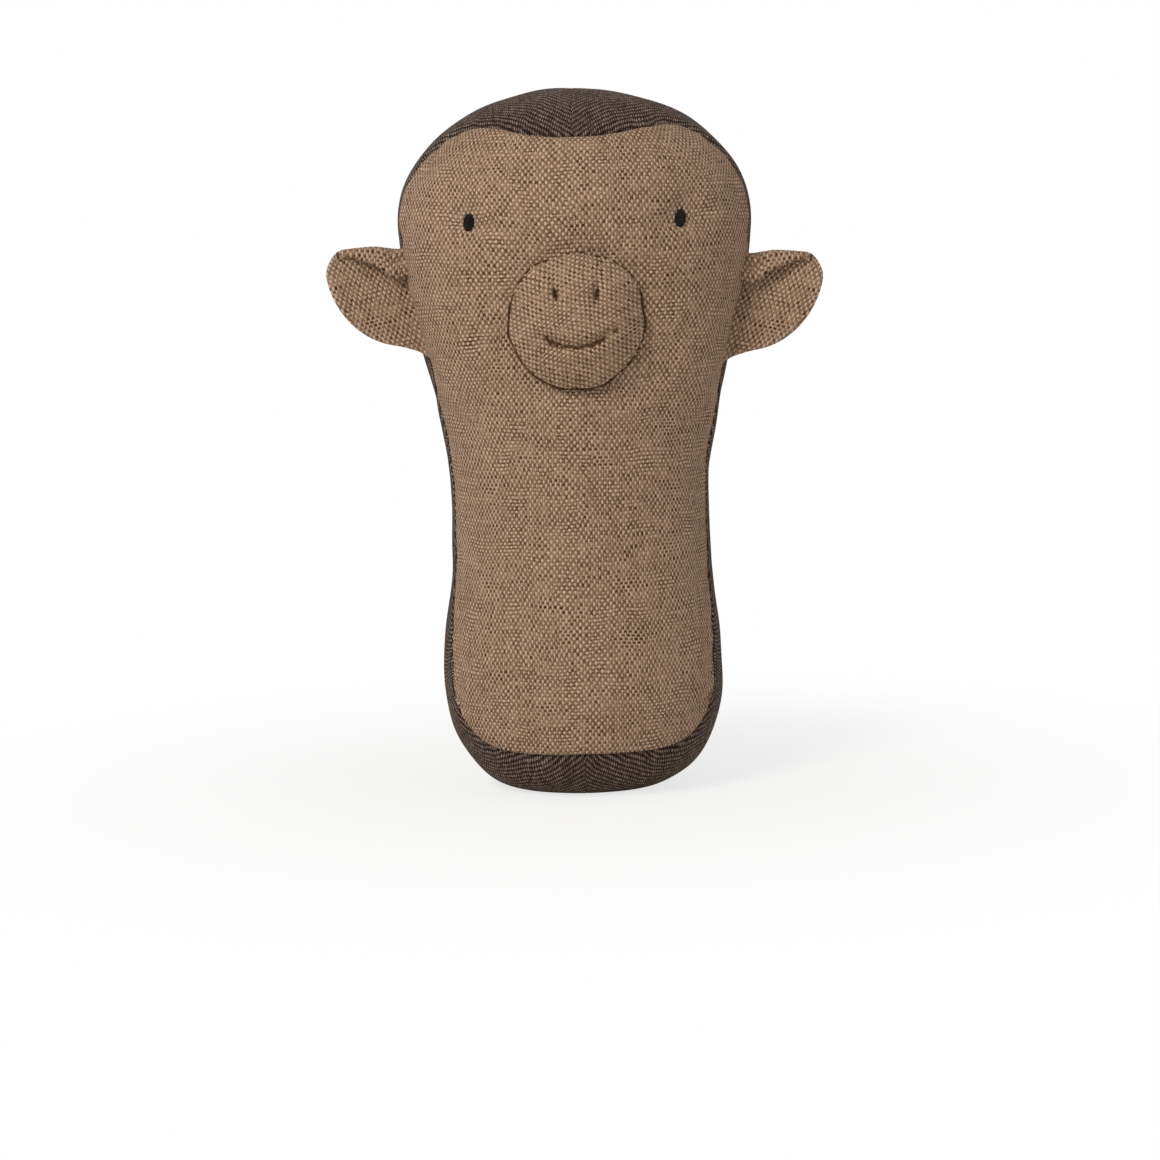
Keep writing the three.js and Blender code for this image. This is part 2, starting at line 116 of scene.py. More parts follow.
# Each wave's stretch of the length, its height, its share of the phase and its start
unlikeWaves = ((1.0, 1.0, 1.0, 0.0), (0.62, 0.7, 2.3, 1.0), (1.71, 0.8, 4.1, 2.0))


# Sum of three sine waves of unlike lengths, a wandering value of about -1 to 1
def wander(place, length, phase):
    total = 0
    for stretch, height, turn, start in unlikeWaves:
        total = total + height * np.sin(2 * np.pi * place / (length * stretch) + turn * phase + start)
    return total / 2


# Sum of wandering values along slanting lines, each given by its shares of x, y and z and its phase
def slantWander(points, length, lines):
    total = 0
    for *slant, phase in lines:
        total = total + wander(points @ np.array(slant), length, phase)
    return total


# The stuffed form

stuffedForm = {  # half widths at heights above the floor, mm
    "height": 141.0,
    "cheekHeight": 115.0,
    "cheek": 35.5,
    "waistHeight": 56.0,
    "waist": 26.0,
    "bellyHeight": 22.0,
    "belly": 28.5,
    "foot": 12.0,
    "frontDepth": 0.86,  # depth of a level section over its half width
    "backDepth": 0.92,
    "clothThickness": 0.8,
}


def depthRatio(y):  # one ratio for the front and one for the back
    return np.where(y < 0, stuffedForm["frontDepth"], stuffedForm["backDepth"])


# Half width at a height, an inset under the skin: a flat foot widens by a quarter ellipse to the
# belly, smooth steps join belly, waist and cheeks, and the crown is a quarter ellipse
def halfWidth(z, inset=0.0):
    f = stuffedForm
    footShare = (f["bellyHeight"] - z) / (f["bellyHeight"] - inset)
    bodyShare = (z - f["bellyHeight"]) / (f["waistHeight"] - f["bellyHeight"])
    neckShare = (z - f["waistHeight"]) / (f["cheekHeight"] - f["waistHeight"])
    crownShare = (z - f["cheekHeight"]) / (f["height"] - inset - f["cheekHeight"])
    foot = f["foot"] + (f["belly"] - inset - f["foot"]) * quarter(footShare)
    body = mix(f["belly"], f["waist"], ease(bodyShare)) - inset
    neck = mix(f["waist"], f["cheek"], ease(neckShare)) - inset
    crown = (f["cheek"] - inset) * quarter(crownShare)
    levels = [z < f["bellyHeight"], z < f["waistHeight"], z < f["cheekHeight"]]
    return np.select(levels, [foot, body, neck], crown)


# A point of the skin by its angle round from the front and its height: an ellipse at each level
def skinPoint(angle, z, inset=0.0):
    width = halfWidth(z, inset)
    y = -width * np.cos(angle)
    return np.stack([width * np.sin(angle), y * depthRatio(y), z], -1)


# Outward direction: the gradient of (reach from the axis, depths evened out) less the half width
def skinNormal(points):
    step = 0.05
    x, y, z = np.moveaxis(points, -1, 0)
    ratio = depthRatio(y)
    reach = np.maximum(np.hypot(x, y / ratio), 1e-6)
    slope = (halfWidth(z + step) - halfWidth(z - step)) / (2 * step)
    normal = np.stack([x / reach, y / (ratio * ratio * reach), -slope], -1)
    normal[z < step] = (0, 0, -1)
    return unit(normal)


# Where rays from inside meet the skin, found by halving the span that holds the crossing
def castToSkin(start, direction, inset=0.0):
    near = np.zeros(direction.shape[:-1])
    far = near + 2 * stuffedForm["height"]
    for halving in range(40):
        middle = (near + far) / 2
        x, y, z = np.moveaxis(start + direction * middle[..., None], -1, 0)
        level = (z > inset) & (z < stuffedForm["height"] - inset)
        inside = level & (np.hypot(x, y / depthRatio(y)) < halfWidth(z, inset))
        near = np.where(inside, middle, near)
        far = np.where(inside, far, middle)
    return start + direction * near[..., None]


# The front of the skin as a depth over the front view
def faceDepth(x, z):
    return -stuffedForm["frontDepth"] * np.sqrt(np.maximum(0, halfWidth(z) ** 2 - x * x))


# The seam round the face panel

faceSeam = {
    "top": 134.0,  # mm, where it would cross the middle of the front without the peak
    "foot": 9.8,
    "sideAngle": math.radians(76),
    "earPull": math.radians(4.5),  # further back where the ears are sewn in
    "earHeight": 110.0,
    "earSpan": 13.0,
    "topSquareness": 7.5,
    "footSquareness": 4.6,
    "peakDrop": 2.5,
    "peakAngle": math.radians(32),
    "rollWidth": 1.0,  # how far from the seam the cloth starts to turn in
    "rollDepth": 0.85,
    "edgeGap": -0.12,  # the cloth edges press together, down in the valley
}
seamMiddle = (faceSeam["top"] + faceSeam["foot"]) / 2
seamHalf = (faceSeam["top"] - faceSeam["foot"]) / 2


# The panel's half angle at a height: wider by a bell curve beside the ears
def sideAngleAt(z):
    wider = hill(z - faceSeam["earHeight"], faceSeam["earSpan"])
    return faceSeam["sideAngle"] + faceSeam["earPull"] * wider


# Angle and height of a place in the face panel: turn runs round from the top, share is 1 on the
# seam, offset widens the panel. A rounded rectangle, |across|^p + |up|^p = 1, with a dipped top.
def facePlace(turn, share, offset):
    across = np.sin(turn)
    up = np.cos(turn)
    power = np.where(up > 0, faceSeam["topSquareness"], faceSeam["footSquareness"])
    reach = share * (np.abs(across) ** power + np.abs(up) ** power) ** (-1 / power)
    peak = hill(reach * across * faceSeam["sideAngle"], faceSeam["peakAngle"])
    drop = faceSeam["peakDrop"] * peak * share * ease(np.maximum(0, up))
    z = seamMiddle + (seamHalf + offset) * reach * up - drop
    angle = reach * across * (sideAngleAt(z) + offset / halfWidth(z))
    return angle, z


def seamPoint(turn, offset, inset=0.0):  # the panel's rim, put on the skin
    angle, z = facePlace(turn, 1.0, offset)
    return skinPoint(angle, z, inset)


# The seam's angle round the side at a height, from the same rounded rectangle
def seamAngleAt(z):
    power = faceSeam["topSquareness"]
    up = np.minimum(1, np.abs(z - seamMiddle) / seamHalf)
    return sideAngleAt(z) * (1 - up**power) ** (1 / power)


# Depth of the cloth under the skin near a seam: a quarter ellipse over the last width
def valley(distance, width, depth):
    return depth * (1 - quarter(np.clip(1 - distance / width, 0, 1)))


# Meshes


# Quads of a grid of points, rows by columns, wrapped round where asked
def gridFaces(rows, columns, wrapRows=False, wrapColumns=False):
    down = np.arange(rows if wrapRows else rows - 1)[:, None]
    along = np.arange(columns if wrapColumns else columns - 1)[None, :]
    nextDown = (down + 1) % rows
    nextAlong = (along + 1) % columns
    corners = [
        down * columns + along,
        nextDown * columns + along,
        nextDown * columns + nextAlong,
        down * columns + nextAlong,
    ]
    return np.stack(np.broadcast_arrays(*corners), -1).reshape(-1, 4)


# A closed sheet: a front grid, a back grid turned round, and a rim of quads between their borders
def sheetFaces(rows, columns):
    front = gridFaces(rows, columns)
    index = np.arange(rows * columns).reshape(rows, columns)
    border = np.concatenate([index[0, :-1], index[:-1, -1], index[-1, :0:-1], index[:0:-1, 0]])
    ahead = np.roll(border, -1)
    back = rows * columns
    rim = np.stack([border, ahead, ahead + back, border + back], -1)
    return np.concatenate([front, front[:, ::-1] + back, rim])


def addObject(name, data):
    added = bpy.data.objects.new(name, data)
    bpy.context.scene.collection.objects.link(added)
    return added


def inMetres(points):  # from millimetres about the capsule's axis to the frame
    return np.asarray(points, float).reshape(-1, 3) * mm + [0, depthShift, 0]


def readPoints(mesh, kind="co"):  # a mesh's points, or their normals
    values = np.zeros(len(mesh.vertices) * 3, np.float32)
    mesh.vertices.foreach_get(kind, values)
    return values.reshape(-1, 3).astype(float)


def movePoints(mesh, places):
    mesh.vertices.foreach_set("co", places.ravel())
    mesh.update()


def makePiece(name, points, faces, material, clothPlace=None):
    mesh = bpy.data.meshes.new(name)
    mesh.from_pydata(inMetres(points).tolist(), [], [list(face) for face in faces])
    mesh.polygons.foreach_set("use_smooth", np.ones(len(mesh.polygons), bool))
    if clothPlace is not None:
        corner = np.zeros(len(mesh.loops), np.int32)
        mesh.loops.foreach_get("vertex_index", corner)
        flat = np.asarray(clothPlace, float).reshape(-1, 2)[corner]
        mesh.uv_layers.new(name="cloth").data.foreach_set("uv", flat.ravel())
    mesh.materials.append(material)
    piece = addObject(name, mesh)
    return piece


# Round threads: a circle carried along each path, drawn to a point at both ends
def makeThread(name, node, paths, stitch, away, material):
    thinEnd = 0.25  # of the radius
    sideCount = stitch["sides"]
    count, steps = paths.shape[:2]
    forward = unit(np.gradient(paths, axis=1))
    beside = unit(np.cross(forward, away))
    over = np.cross(beside, forward)
    turn = 2 * np.pi * np.arange(sideCount) / sideCount
    ring = np.cos(turn)[:, None] * beside[:, :, None] + np.sin(turn)[:, None] * over[:, :, None]
    along = np.linspace(-1, 1, steps)
    taper = stitch["radius"] * mix(thinEnd, 1, quarter(np.abs(along) ** (steps / 2)))
    points = paths[:, :, None] + ring * taper[None, :, None, None]
    tube = gridFaces(steps, sideCount, wrapColumns=True)
    first = np.arange(count)[:, None, None] * (steps * sideCount)
    ends = np.stack([np.arange(sideCount), np.arange(sideCount)[::-1] + (steps - 1) * sideCount])
    quads = (tube[None] + first).reshape(-1, 4)
    caps = (ends[None] + first).reshape(-1, sideCount)
    length = lengthAlong(paths, 1)
    twist = np.stack(np.broadcast_arrays(length[:, :, None], turn / (2 * np.pi)), -1)
    standFor(makePiece(name, points, [*quads, *caps], material, twist), node)


def mergeDoubles(mesh, turnOutwards=False):
    shell = bmesh.new()
    shell.from_mesh(mesh)
    bmesh.ops.remove_doubles(shell, verts=shell.verts, dist=1e-6)
    if turnOutwards:
        bmesh.ops.recalc_face_normals(shell, faces=shell.faces)
    shell.to_mesh(mesh)
    shell.free()


def addModifier(piece, kind, **settings):
    modifier = piece.modifiers.new(kind.lower(), kind)
    for key, value in settings.items():
        setattr(modifier, key, value)
    return modifier


def standFor(piece, *nodes, body="toy"):
    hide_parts(*nodes)
    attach(piece, body)


def thicken(piece, thickness):  # inwards from the cloth's outside, and rounded off
    addModifier(piece, "SOLIDIFY", thickness=thickness * mm, offset=-1.0)
    addModifier(piece, "SUBSURF", levels=1, render_levels=1)


# Materials


# Linear colour of an sRGB hex value: each channel by the standard curve
def hexColour(code):
    channels = np.array([int(code[i : i + 2], 16) for i in (1, 3, 5)]) / 255
    linear = np.where(channels <= 0.04045, channels / 12.92, ((channels + 0.055) / 1.055) ** 2.4)
    return (*linear.tolist(), 1.0)


def addNode(tree, kind, inputs=None, **settings):
    node = tree.nodes.new("ShaderNode" + kind)
    for key, value in settings.items():
        setattr(node, key, value)
    for key, value in (inputs or {}).items():
        if isinstance(value, bpy.types.NodeSocket):
            tree.links.new(value, node.inputs[key])
        else:
            node.inputs[key].default_value = value
    return node


def newMaterial(name):
    material = bpy.data.materials.new(name)
    material.use_nodes = True
    material.node_tree.nodes.clear()
    return material, material.node_tree


# Works through a table of sums: each line has its result's name, its operation and its terms,
# which are numbers or names of earlier results
def workOut(tree, kind, worked, sums):
    for result, operation, *terms in sums:
        inputs = {i: worked.get(term, term) for i, term in enumerate(terms)}
        worked[result] = addNode(tree, kind, inputs, operation=operation).outputs[0]


linenWeave = {  # mm on the cloth
    "acrossPitch": 0.545,
    "downPitch": 0.75,
    "crimp": 0.5,  # rise of a thread over its neighbour, as a share of its roundness
    "wanderLength": 16.0,
    "wanderReach": 2.2,
    "slubLength": 9.0,
    "fuzzSize": 0.3,
    "clearLength": 4.0,  # size of patches where the weave shows more clearly or less
    "lineLength": 6.0,  # size of patches where the level threads show as lines
    "threadRelief": 0.15,
    "columnApart": 7.31,  # steps in the noise from thread to thread, so that no two are alike
    "rowApart": 9.17,
    "rowStart": 400.0,
    # painted shade: the tone that the ramp gives the holes between threads
    "gapShadeTone": 0.03,  # tone of the holes between threads
}
tanTones = {  # weights of the tone's terms
    # the crossing, column and line weights are painted light, with pale crowns and dark flanks on the
    # threads as if lit; flecks, threads and fuzz are the yarn's own tone
    "crossingShading": 0.42,
    "columns": 0.22,
    "lines": 0.12,
    "linesSpread": 1.7,
    "flecks": 0.22,
    "threads": 0.45,
    "fuzz": 0.8,
    "clearSpread": 0.75,
}
darkTones = {
    # here too the crossing, column and line weights are painted light, and the rest are the yarn's own
    # tone
    "crossingShading": 0.46,
    "columns": 0.1,
    "lines": 0.08,
    "linesSpread": 0.6,
    "flecks": 0.3,
    "threads": 0.5,
    "fuzz": 0.9,
    "clearSpread": 1.2,
}


# Plain weave on the cloth's own millimetres. With a and b the sines across and down the threads,
# ab is 1 where an upright thread passes over and -1 where a level one does. The upright thread
# stands |a| + crimp * ab high, the level one |b| - crimp * ab, and the higher one shows. The tone
# is a weighted sum of a², b² and ab. This is painted light: a painted highlight on the thread crowns,
# upright threads paler where they pass over as if lit from the upper left, and painted shade in the
# holes. Each thread and each crossing also has a tone of its own, and fuzz lies over all.
def makeLinen(name, tones, gapShadeColour, threadColour, crownHighlightColour, sheenColour):
    material, tree = newMaterial(name)
    w = linenWeave
    place = addNode(tree, "UVMap", uv_map="cloth").outputs["UV"]
    swayInputs = {"Vector": place, "Scale": 1 / w["wanderLength"], "Detail": 3.0}
    sway = addNode(tree, "TexNoise", swayInputs, noise_dimensions="2D")
    worked = {"place": place, "sway": sway.outputs["Color"]}
    reach = (w["wanderReach"],) * 3
    workOut(tree, "VectorMath", worked, [("swayed", "MULTIPLY_ADD", "sway", reach, "place")])
    flat = addNode(tree, "SeparateXYZ", {0: worked["swayed"]})
    worked.update({"u": flat.outputs["X"], "v": flat.outputs["Y"]})
    threadSums = (
        ("column", "DIVIDE", "u", w["acrossPitch"]),
        ("row", "DIVIDE", "v", w["downPitch"]),
        ("columnTurn", "MULTIPLY", "column", math.pi),
        ("rowTurn", "MULTIPLY", "row", math.pi),
        ("a", "SINE", "columnTurn"),
        ("b", "SINE", "rowTurn"),
        ("roundA", "ABSOLUTE", "a"),
        ("roundB", "ABSOLUTE", "b"),
        ("over", "MULTIPLY", "a", "b"),
        ("upright", "MULTIPLY_ADD", "over", w["crimp"], "roundA"),
        ("level", "MULTIPLY_ADD", "over", -w["crimp"], "roundB"),
        ("height", "MAXIMUM", "upright", "level"),
        ("uprightShows", "GREATER_THAN", "upright", "level"),
        ("columnIndex", "FLOOR", "column"),
        ("rowIndex", "FLOOR", "row"),
        ("columnApart", "MULTIPLY", "columnIndex", w["columnApart"]),
        ("rowApart", "MULTIPLY_ADD", "rowIndex", w["rowApart"], w["rowStart"]),
        ("alongColumn", "DIVIDE", "v", w["slubLength"]),
        ("alongRow", "DIVIDE", "u", w["slubLength"]),
    )
    workOut(tree, "Math", worked, threadSums)
    for pair, first, second in (
        ("crossing", "columnIndex", "rowIndex"),
        ("columnLine", "columnApart", "alongColumn"),
        ("rowLine", "rowApart", "alongRow"),
    ):
        both = addNode(tree, "CombineXYZ", {0: worked[first], 1: worked[second]})
        worked[pair] = both.outputs[0]
    for result, vector, length in (
        ("columnTone", "columnLine", 1.0),
        ("rowTone", "rowLine", 1.0),
        ("clear", "place", w["clearLength"]),
        ("lines", "place", w["lineLength"]),
        ("fuzz", "place", w["fuzzSize"]),
    ):
        inputs = {"Vector": worked[vector], "Scale": 1 / length, "Detail": 2.0}
        noise = addNode(tree, "TexNoise", inputs, noise_dimensions="2D")
        worked[result] = noise.outputs["Fac"]
    fleck = addNode(tree, "TexWhiteNoise", {"Vector": worked["crossing"]}, noise_dimensions="2D")
    worked["fleck"] = fleck.outputs["Value"]
    t = tones
    lineStart = t["lines"] - t["linesSpread"] / 2
    balance = -(t["flecks"] + t["threads"] + t["fuzz"]) / 2
    # the a², b² and ab terms paint highlights on the thread crowns and shade between them
    toneSums = (
        ("toneGap", "SUBTRACT", "columnTone", "rowTone"),
        ("threadTone", "MULTIPLY_ADD", "toneGap", "uprightShows", "rowTone"),
        ("evenA", "MULTIPLY_ADD", "a", "a", -0.5),
        ("evenB", "MULTIPLY_ADD", "b", "b", -0.5),
        ("lineShare", "MULTIPLY_ADD", "lines", t["linesSpread"], lineStart),
        ("withLines", "MULTIPLY_ADD", "evenB", "lineShare", balance),
        ("withColumns", "MULTIPLY_ADD", "evenA", t["columns"], "withLines"),
        ("withCrossingShading", "MULTIPLY_ADD", "over", t["crossingShading"], "withColumns"),
        ("withFlecks", "MULTIPLY_ADD", "fleck", t["flecks"], "withCrossingShading"),
        ("withThreads", "MULTIPLY_ADD", "threadTone", t["threads"], "withFlecks"),
        ("balanced", "MULTIPLY_ADD", "fuzz", t["fuzz"], "withThreads"),
        ("clearness", "MULTIPLY_ADD", "clear", t["clearSpread"], 1 - t["clearSpread"] / 2),
        ("tone", "MULTIPLY_ADD", "balanced", "clearness", 0.5),
    )
    workOut(tree, "Math", worked, toneSums)
    # the ramp runs from painted shade in the holes, through the thread's own colour, to a painted
    # highlight on the crowns
    ramp = addNode(tree, "ValToRGB", {"Fac": worked["tone"]})
    shades = ramp.color_ramp
    shades.elements[0].color = hexColour(gapShadeColour)
    shades.elements[0].position = w["gapShadeTone"]
    shades.elements[1].color = hexColour(crownHighlightColour)
    shades.elements.new(0.5).color = hexColour(threadColour)
    bumpInputs = {"Height": worked["height"], "Distance": w["threadRelief"] * mm, "Strength": 1.0}
    clothInputs = {
        "Base Color": ramp.outputs["Color"],
        "Normal": addNode(tree, "Bump", bumpInputs).outputs["Normal"],
        "Roughness": 0.95,
        "IOR": 1.45,
        "Specular IOR Level": 0.15,
        "Sheen Weight": 0.1,
        "Sheen Roughness": 0.5,
        "Sheen Tint": hexColour(sheenColour),
    }
    cloth = addNode(tree, "BsdfPrincipled", clothInputs)
    addNode(tree, "OutputMaterial", {"Surface": cloth.outputs["BSDF"]})
    return material


# Washed linen, yarn-dyed tan: uneven threads, with a painted highlight on the crowns where they cross
# and painted shade in the holes
tanLinen = makeLinen("tan_linen", tanTones, "#361d08", "#997c62", "#c9ab95", "#d8c4ae")
# The same linen dyed dark brown: low contrast, with a greyish painted highlight on the crowns and
# painted shade in the holes
darkLinen = makeLinen("dark_linen", darkTones, "#100804", "#3d3027", "#998678", "#8d7a6a")

threadTwist = {"pitch": 0.9, "relief": 0.05}  # mm


# Plied thread: bands wind round it, one turn for each pitch along its length, with painted shade in the
# grooves between the bands
def makePliedThread(name, grooveShadeColour, strandColour, roughness, sheenWeight):
    material, tree = newMaterial(name)
    place = addNode(tree, "UVMap", uv_map="cloth").outputs["UV"]
    flat = addNode(tree, "SeparateXYZ", {0: place})
    worked = {"along": flat.outputs["X"], "round": flat.outputs["Y"]}
    sums = (
        ("turns", "MULTIPLY_ADD", "along", 1 / threadTwist["pitch"], "round"),
        ("angle", "MULTIPLY", "turns", 2 * math.pi),
        ("wave", "SINE", "angle"),
        ("strand", "MULTIPLY_ADD", "wave", 0.5, 0.5),
    )
    workOut(tree, "Math", worked, sums)
    strand = worked["strand"]
    # the grooves between the strands get painted shade, and the strands keep the thread's own colour
    colours = {"Factor": strand, 6: hexColour(grooveShadeColour), 7: hexColour(strandColour)}
    bumpInputs = {"Height": strand, "Distance": threadTwist["relief"] * mm, "Strength": 0.7}
    threadInputs = {
        "Base Color": addNode(tree, "Mix", colours, data_type="RGBA").outputs[2],
        "Normal": addNode(tree, "Bump", bumpInputs).outputs["Normal"],
        "Roughness": roughness,
        "Specular IOR Level": 0.2,
        "Sheen Weight": sheenWeight,
    }
    thread = addNode(tree, "BsdfPrincipled", threadInputs)
    addNode(tree, "OutputMaterial", {"Surface": thread.outputs["BSDF"]})
    return material


# Mercerised cotton, near black: smooth strands with a soft shine along them
blackThread = makePliedThread("black_cotton_thread", "#050403", "#17130d", 0.7, 0.0)
# Spun cotton sewing thread, dark brown and dull
brownThread = makePliedThread("brown_cotton_thread", "#24140a", "#4a2f18", 0.85, 0.05)
# The same cotton, close to the cloth's own brown
mouthCotton = makePliedThread("tan_cotton_thread", "#3b2616", "#604429", 0.9, 0.05)


# A surface with a speckle of two near tones and fine grain: colour and relief from two noises
def makeSpeckled(name, darkColour, paleColour, speckleSize, grainSize, relief, **finish):
    material, tree = newMaterial(name)
    place = addNode(tree, "TexCoord").outputs["Object"]
    noises = []
    for size in (speckleSize, grainSize):
        inputs = {"Vector": place, "Scale": 1 / (size * mm), "Detail": 3.0}
        noises.append(addNode(tree, "TexNoise", inputs).outputs["Fac"])
    speckle, grain = noises
    spread = addNode(tree, "MapRange", {"Value": speckle, "From Min": 0.35, "From Max": 0.65})
    colours = {"Factor": spread.outputs[0], 6: hexColour(darkColour), 7: hexColour(paleColour)}
    bumpInputs = {"Height": grain, "Distance": relief * mm, "Strength": 0.5}
    surfaceInputs = {
        "Base Color": addNode(tree, "Mix", colours, data_type="RGBA").outputs[2],
        "Normal": addNode(tree, "Bump", bumpInputs).outputs["Normal"],
        **finish,
    }
    surface = addNode(tree, "BsdfPrincipled", surfaceInputs)
    addNode(tree, "OutputMaterial", {"Surface": surface.outputs["BSDF"]})
    return material


# Polyester fibre filling: white, matt, with wisps and small shadows between them
fibreFill = makeSpeckled(
    "polyester_fibre", "#d9d6cf", "#f6f4ee", 2.5, 0.4, 0.5, **{"Roughness": 1.0, "Sheen Weight": 0.3}
)
# Moulded polypropylene: pale, half matt, with a faint spark-eroded grain
capsulePlastic = makeSpeckled(
    "polypropylene", "#e2dfd6", "#eceae3", 6.0, 0.15, 0.02, **{"Roughness": 0.4, "IOR": 1.49}
)
# Moulded polystyrene beads: straw coloured and glossy
beadPlastic = makeSpeckled(
    "polystyrene", "#c0a86f", "#cfb985", 1.5, 0.3, 0.01, **{"Roughness": 0.22, "IOR": 1.59}
)
print("materials made")

# Swelling the stuffed panels

swelling = {
    "enlarge": 10.0,  # the cloth solver suits larger things, so the panel is ten times larger in it
    "frames": 20,
    "pressure": 4.0,
    "growth": 0.015,  # spare cloth, which puckers along the seams
    "waistSpan": 16.0,  # mm
    "lump": 21.0,  # length of the stuffing's soft lumps
    "lumpDepth": 0.15,  # of each of their waves
    "lumpLines": ((1.0, 0.0, 0.5, 0.4), (-0.4, 0.7, 1.0, 1.3)),
}


# Blender's cloth on a copy of the panel, held where it is sewn and pushed out from inside. Each
# point's move is capped, so that the panel keeps the form's size, and then taken by its share.
def swell(piece, held, cap, share):
    scene = bpy.context.scene
    start = readPoints(piece.data)
    trial = addObject("trial", piece.data.copy())
    trial.data.transform(Matrix.Scale(swelling["enlarge"], 4))
    group = trial.vertex_groups.new(name="held")
    group.add(np.flatnonzero(held).tolist(), 1.0, "REPLACE")
    cloth = addModifier(trial, "CLOTH")
    cloth.point_cache.frame_start = 1
    cloth.point_cache.frame_end = swelling["frames"]
    cloth.collision_settings.use_collision = False
    cloth.collision_settings.use_self_collision = False
    settings = cloth.settings
    settings.vertex_group_mass = "held"
    settings.effector_weights.gravity = 0
    settings.use_pressure = True
    settings.uniform_pressure_force = swelling["pressure"]
    settings.shrink_min = -swelling["growth"]
    settings.quality = 6
    settings.tension_stiffness = 40
    settings.compression_stiffness = 40
    settings.shear_stiffness = 10
    settings.bending_stiffness = 2
    for frameNumber in range(1, swelling["frames"] + 1):
        scene.frame_set(frameNumber)
    swollen = trial.evaluated_get(bpy.context.evaluated_depsgraph_get()).data
    move = readPoints(swollen) / swelling["enlarge"] - start
    length = np.linalg.norm(move, axis=1, keepdims=True)
    print(piece.name, "swells by", np.round(np.percentile(length, [50, 95, 100]) / mm, 2), "mm")
    move *= cap * mm * np.tanh(length / (cap * mm)) / np.maximum(length, 1e-12)
    move *= np.reshape(share, (-1, 1))
    movePoints(piece.data, start + move)
    scene.frame_set(1)
    bpy.data.objects.remove(trial)


def offWaist(z):  # share of the swelling that is taken: none at the waist, where cloth would span it
    return 1 - hill(z - stuffedForm["waistHeight"], swelling["waistSpan"])


def lumps(points):  # the stuffing's soft lumps: two slanting wandering waves
    return swelling["lumpDepth"] * slantWander(points, swelling["lump"], swelling["lumpLines"])


def pointsOf(piece):  # a piece's points in millimetres about the capsule's axis
    return (readPoints(piece.data) - [0, depthShift, 0]) / mm


# Depth of a made panel at places in the front view: the mean of its four nearest points, each
# weighted by one over its squared distance
def depthOn(panelPoints, x, z):
    panelX, panelY, panelZ = panelPoints.T
    gap = (np.ravel(x)[:, None] - panelX) ** 2 + (np.ravel(z)[:, None] - panelZ) ** 2
    gap = np.where(panelY < 0, gap, np.inf)
    nearest = np.argpartition(gap, 4, axis=1)[:, :4]
    weight = 1 / (np.take_along_axis(gap, nearest, 1) + 1e-3)
    depth = (panelY[nearest] * weight).sum(1) / weight.sum(1)
    return depth.reshape(np.shape(x))


# Length of the front's middle line up to each height
levels = np.linspace(0, stuffedForm["height"], 2000)
frontLength = lengthAlong(skinPoint(np.zeros(levels.size), levels), 0)

# Face panel

facePanel = {
    "rows": 132,
    "columns": 84,
    "crowding": 0.55,
    "swellCap": 0.9,  # mm
    "inset": 0.7,  # under the skin before it swells
    "insetReach": 4.0,  # how far from the seam the inset sets in
    "heldRoundEye": 1.6,
    "heldRoundMuzzle": 0.8,
    "lumpsFromMuzzle": 5.0,
    "puckerLength": 4.2,  # along the seam
    "puckerDepth": 0.22,
    "puckerReach": 3.0,  # in from the seam
    "puckerPhase": 0.4,
    "weaveWidth": 33.0,  # half width that the weave's threads are spaced for
    "weaveEven": 0.5,  # share of it, the rest follows the form
    "weaveTightness": 0.93,
}
eye = {
    "spacing": 41.0,
    "height": 115.0,
    "halfWidth": 1.05,
    "halfHeight": 1.95,
    "strands": 7,
    "dome": 0.42,
    "sink": 0.4,
    "lean": 0.06,
    "dimple": 0.9,
    "dimpleWidth": 2.4,
    "creaseDepth": 0.3,  # of the soft fold that runs out from the dimple to either side
    "creaseWidth": 0.9,
    "creaseLength": 6.0,
    "creaseBelow": 0.3,
    "creaseBend": 0.02,  # its fall over the square of the way out
}
muzzle = {
    "radius": 13.1,
    "height": 95.5,
    "rise": 3.0,
    "fullness": 2.2,
    "baseLift": 1.6,
    "uneven": ((0.75, 0.6), (-0.75, 0.3), (2.3, -0.3)),  # turns from the top, and mm fuller there
    "unevenSpan": 0.4,
    "waver": 0.08,
    "waverCounts": ((7, 1), (11, 2)),  # waves round the edge, and their starts
    "groove": 1.0,  # of the face along the edge
    "grooveOut": 0.3,
    "grooveWidth": 1.5,
}


# The muzzle's radius at a turn from its top: a circle, hand-sewn fuller at the upper corners and
# flatter at the lower right, with a wavering edge
def muzzleReach(turn):
    turn = np.mod(turn + np.pi, 2 * np.pi) - np.pi
    reach = muzzle["radius"]
    for middle, fuller in muzzle["uneven"]:
        reach = reach + fuller * hill(turn - middle, muzzle["unevenSpan"])
    for count, start in muzzle["waverCounts"]:
        reach = reach + muzzle["waver"] * np.sin(count * turn + start)
    return reach


# Turn and share of a square grid drawn out to a disc: u = s sqrt(1 - t²/2), v = t sqrt(1 - s²/2)
def discGrid(rows, columns, crowding):
    s = crowd(np.linspace(-1, 1, columns + 1), crowding)[None, :]
    t = crowd(np.linspace(1, -1, rows + 1), crowding)[:, None]
    u = s * np.sqrt(1 - t * t / 2)
    v = t * np.sqrt(1 - s * s / 2)
    return np.arctan2(u, v), np.minimum(1, np.hypot(u, v))


puckerPatches = {"waves": 9, "mean": 0.6, "spread": 0.4}


# Puckers beside a seam: a wandering wave along it, stronger in patches, that fades out within a
# short reach
def puckers(along, distance, settings, phase):
    wave = wander(along, settings["puckerLength"], phase)
    patch = wander(along, puckerPatches["waves"] * settings["puckerLength"], phase + 1)
    patches = puckerPatches["mean"] + puckerPatches["spread"] * patch
    fade = (distance / settings["puckerReach"]) * np.exp(1 - 2 * distance / settings["puckerReach"])
    return settings["puckerDepth"] * wave * patches * fade


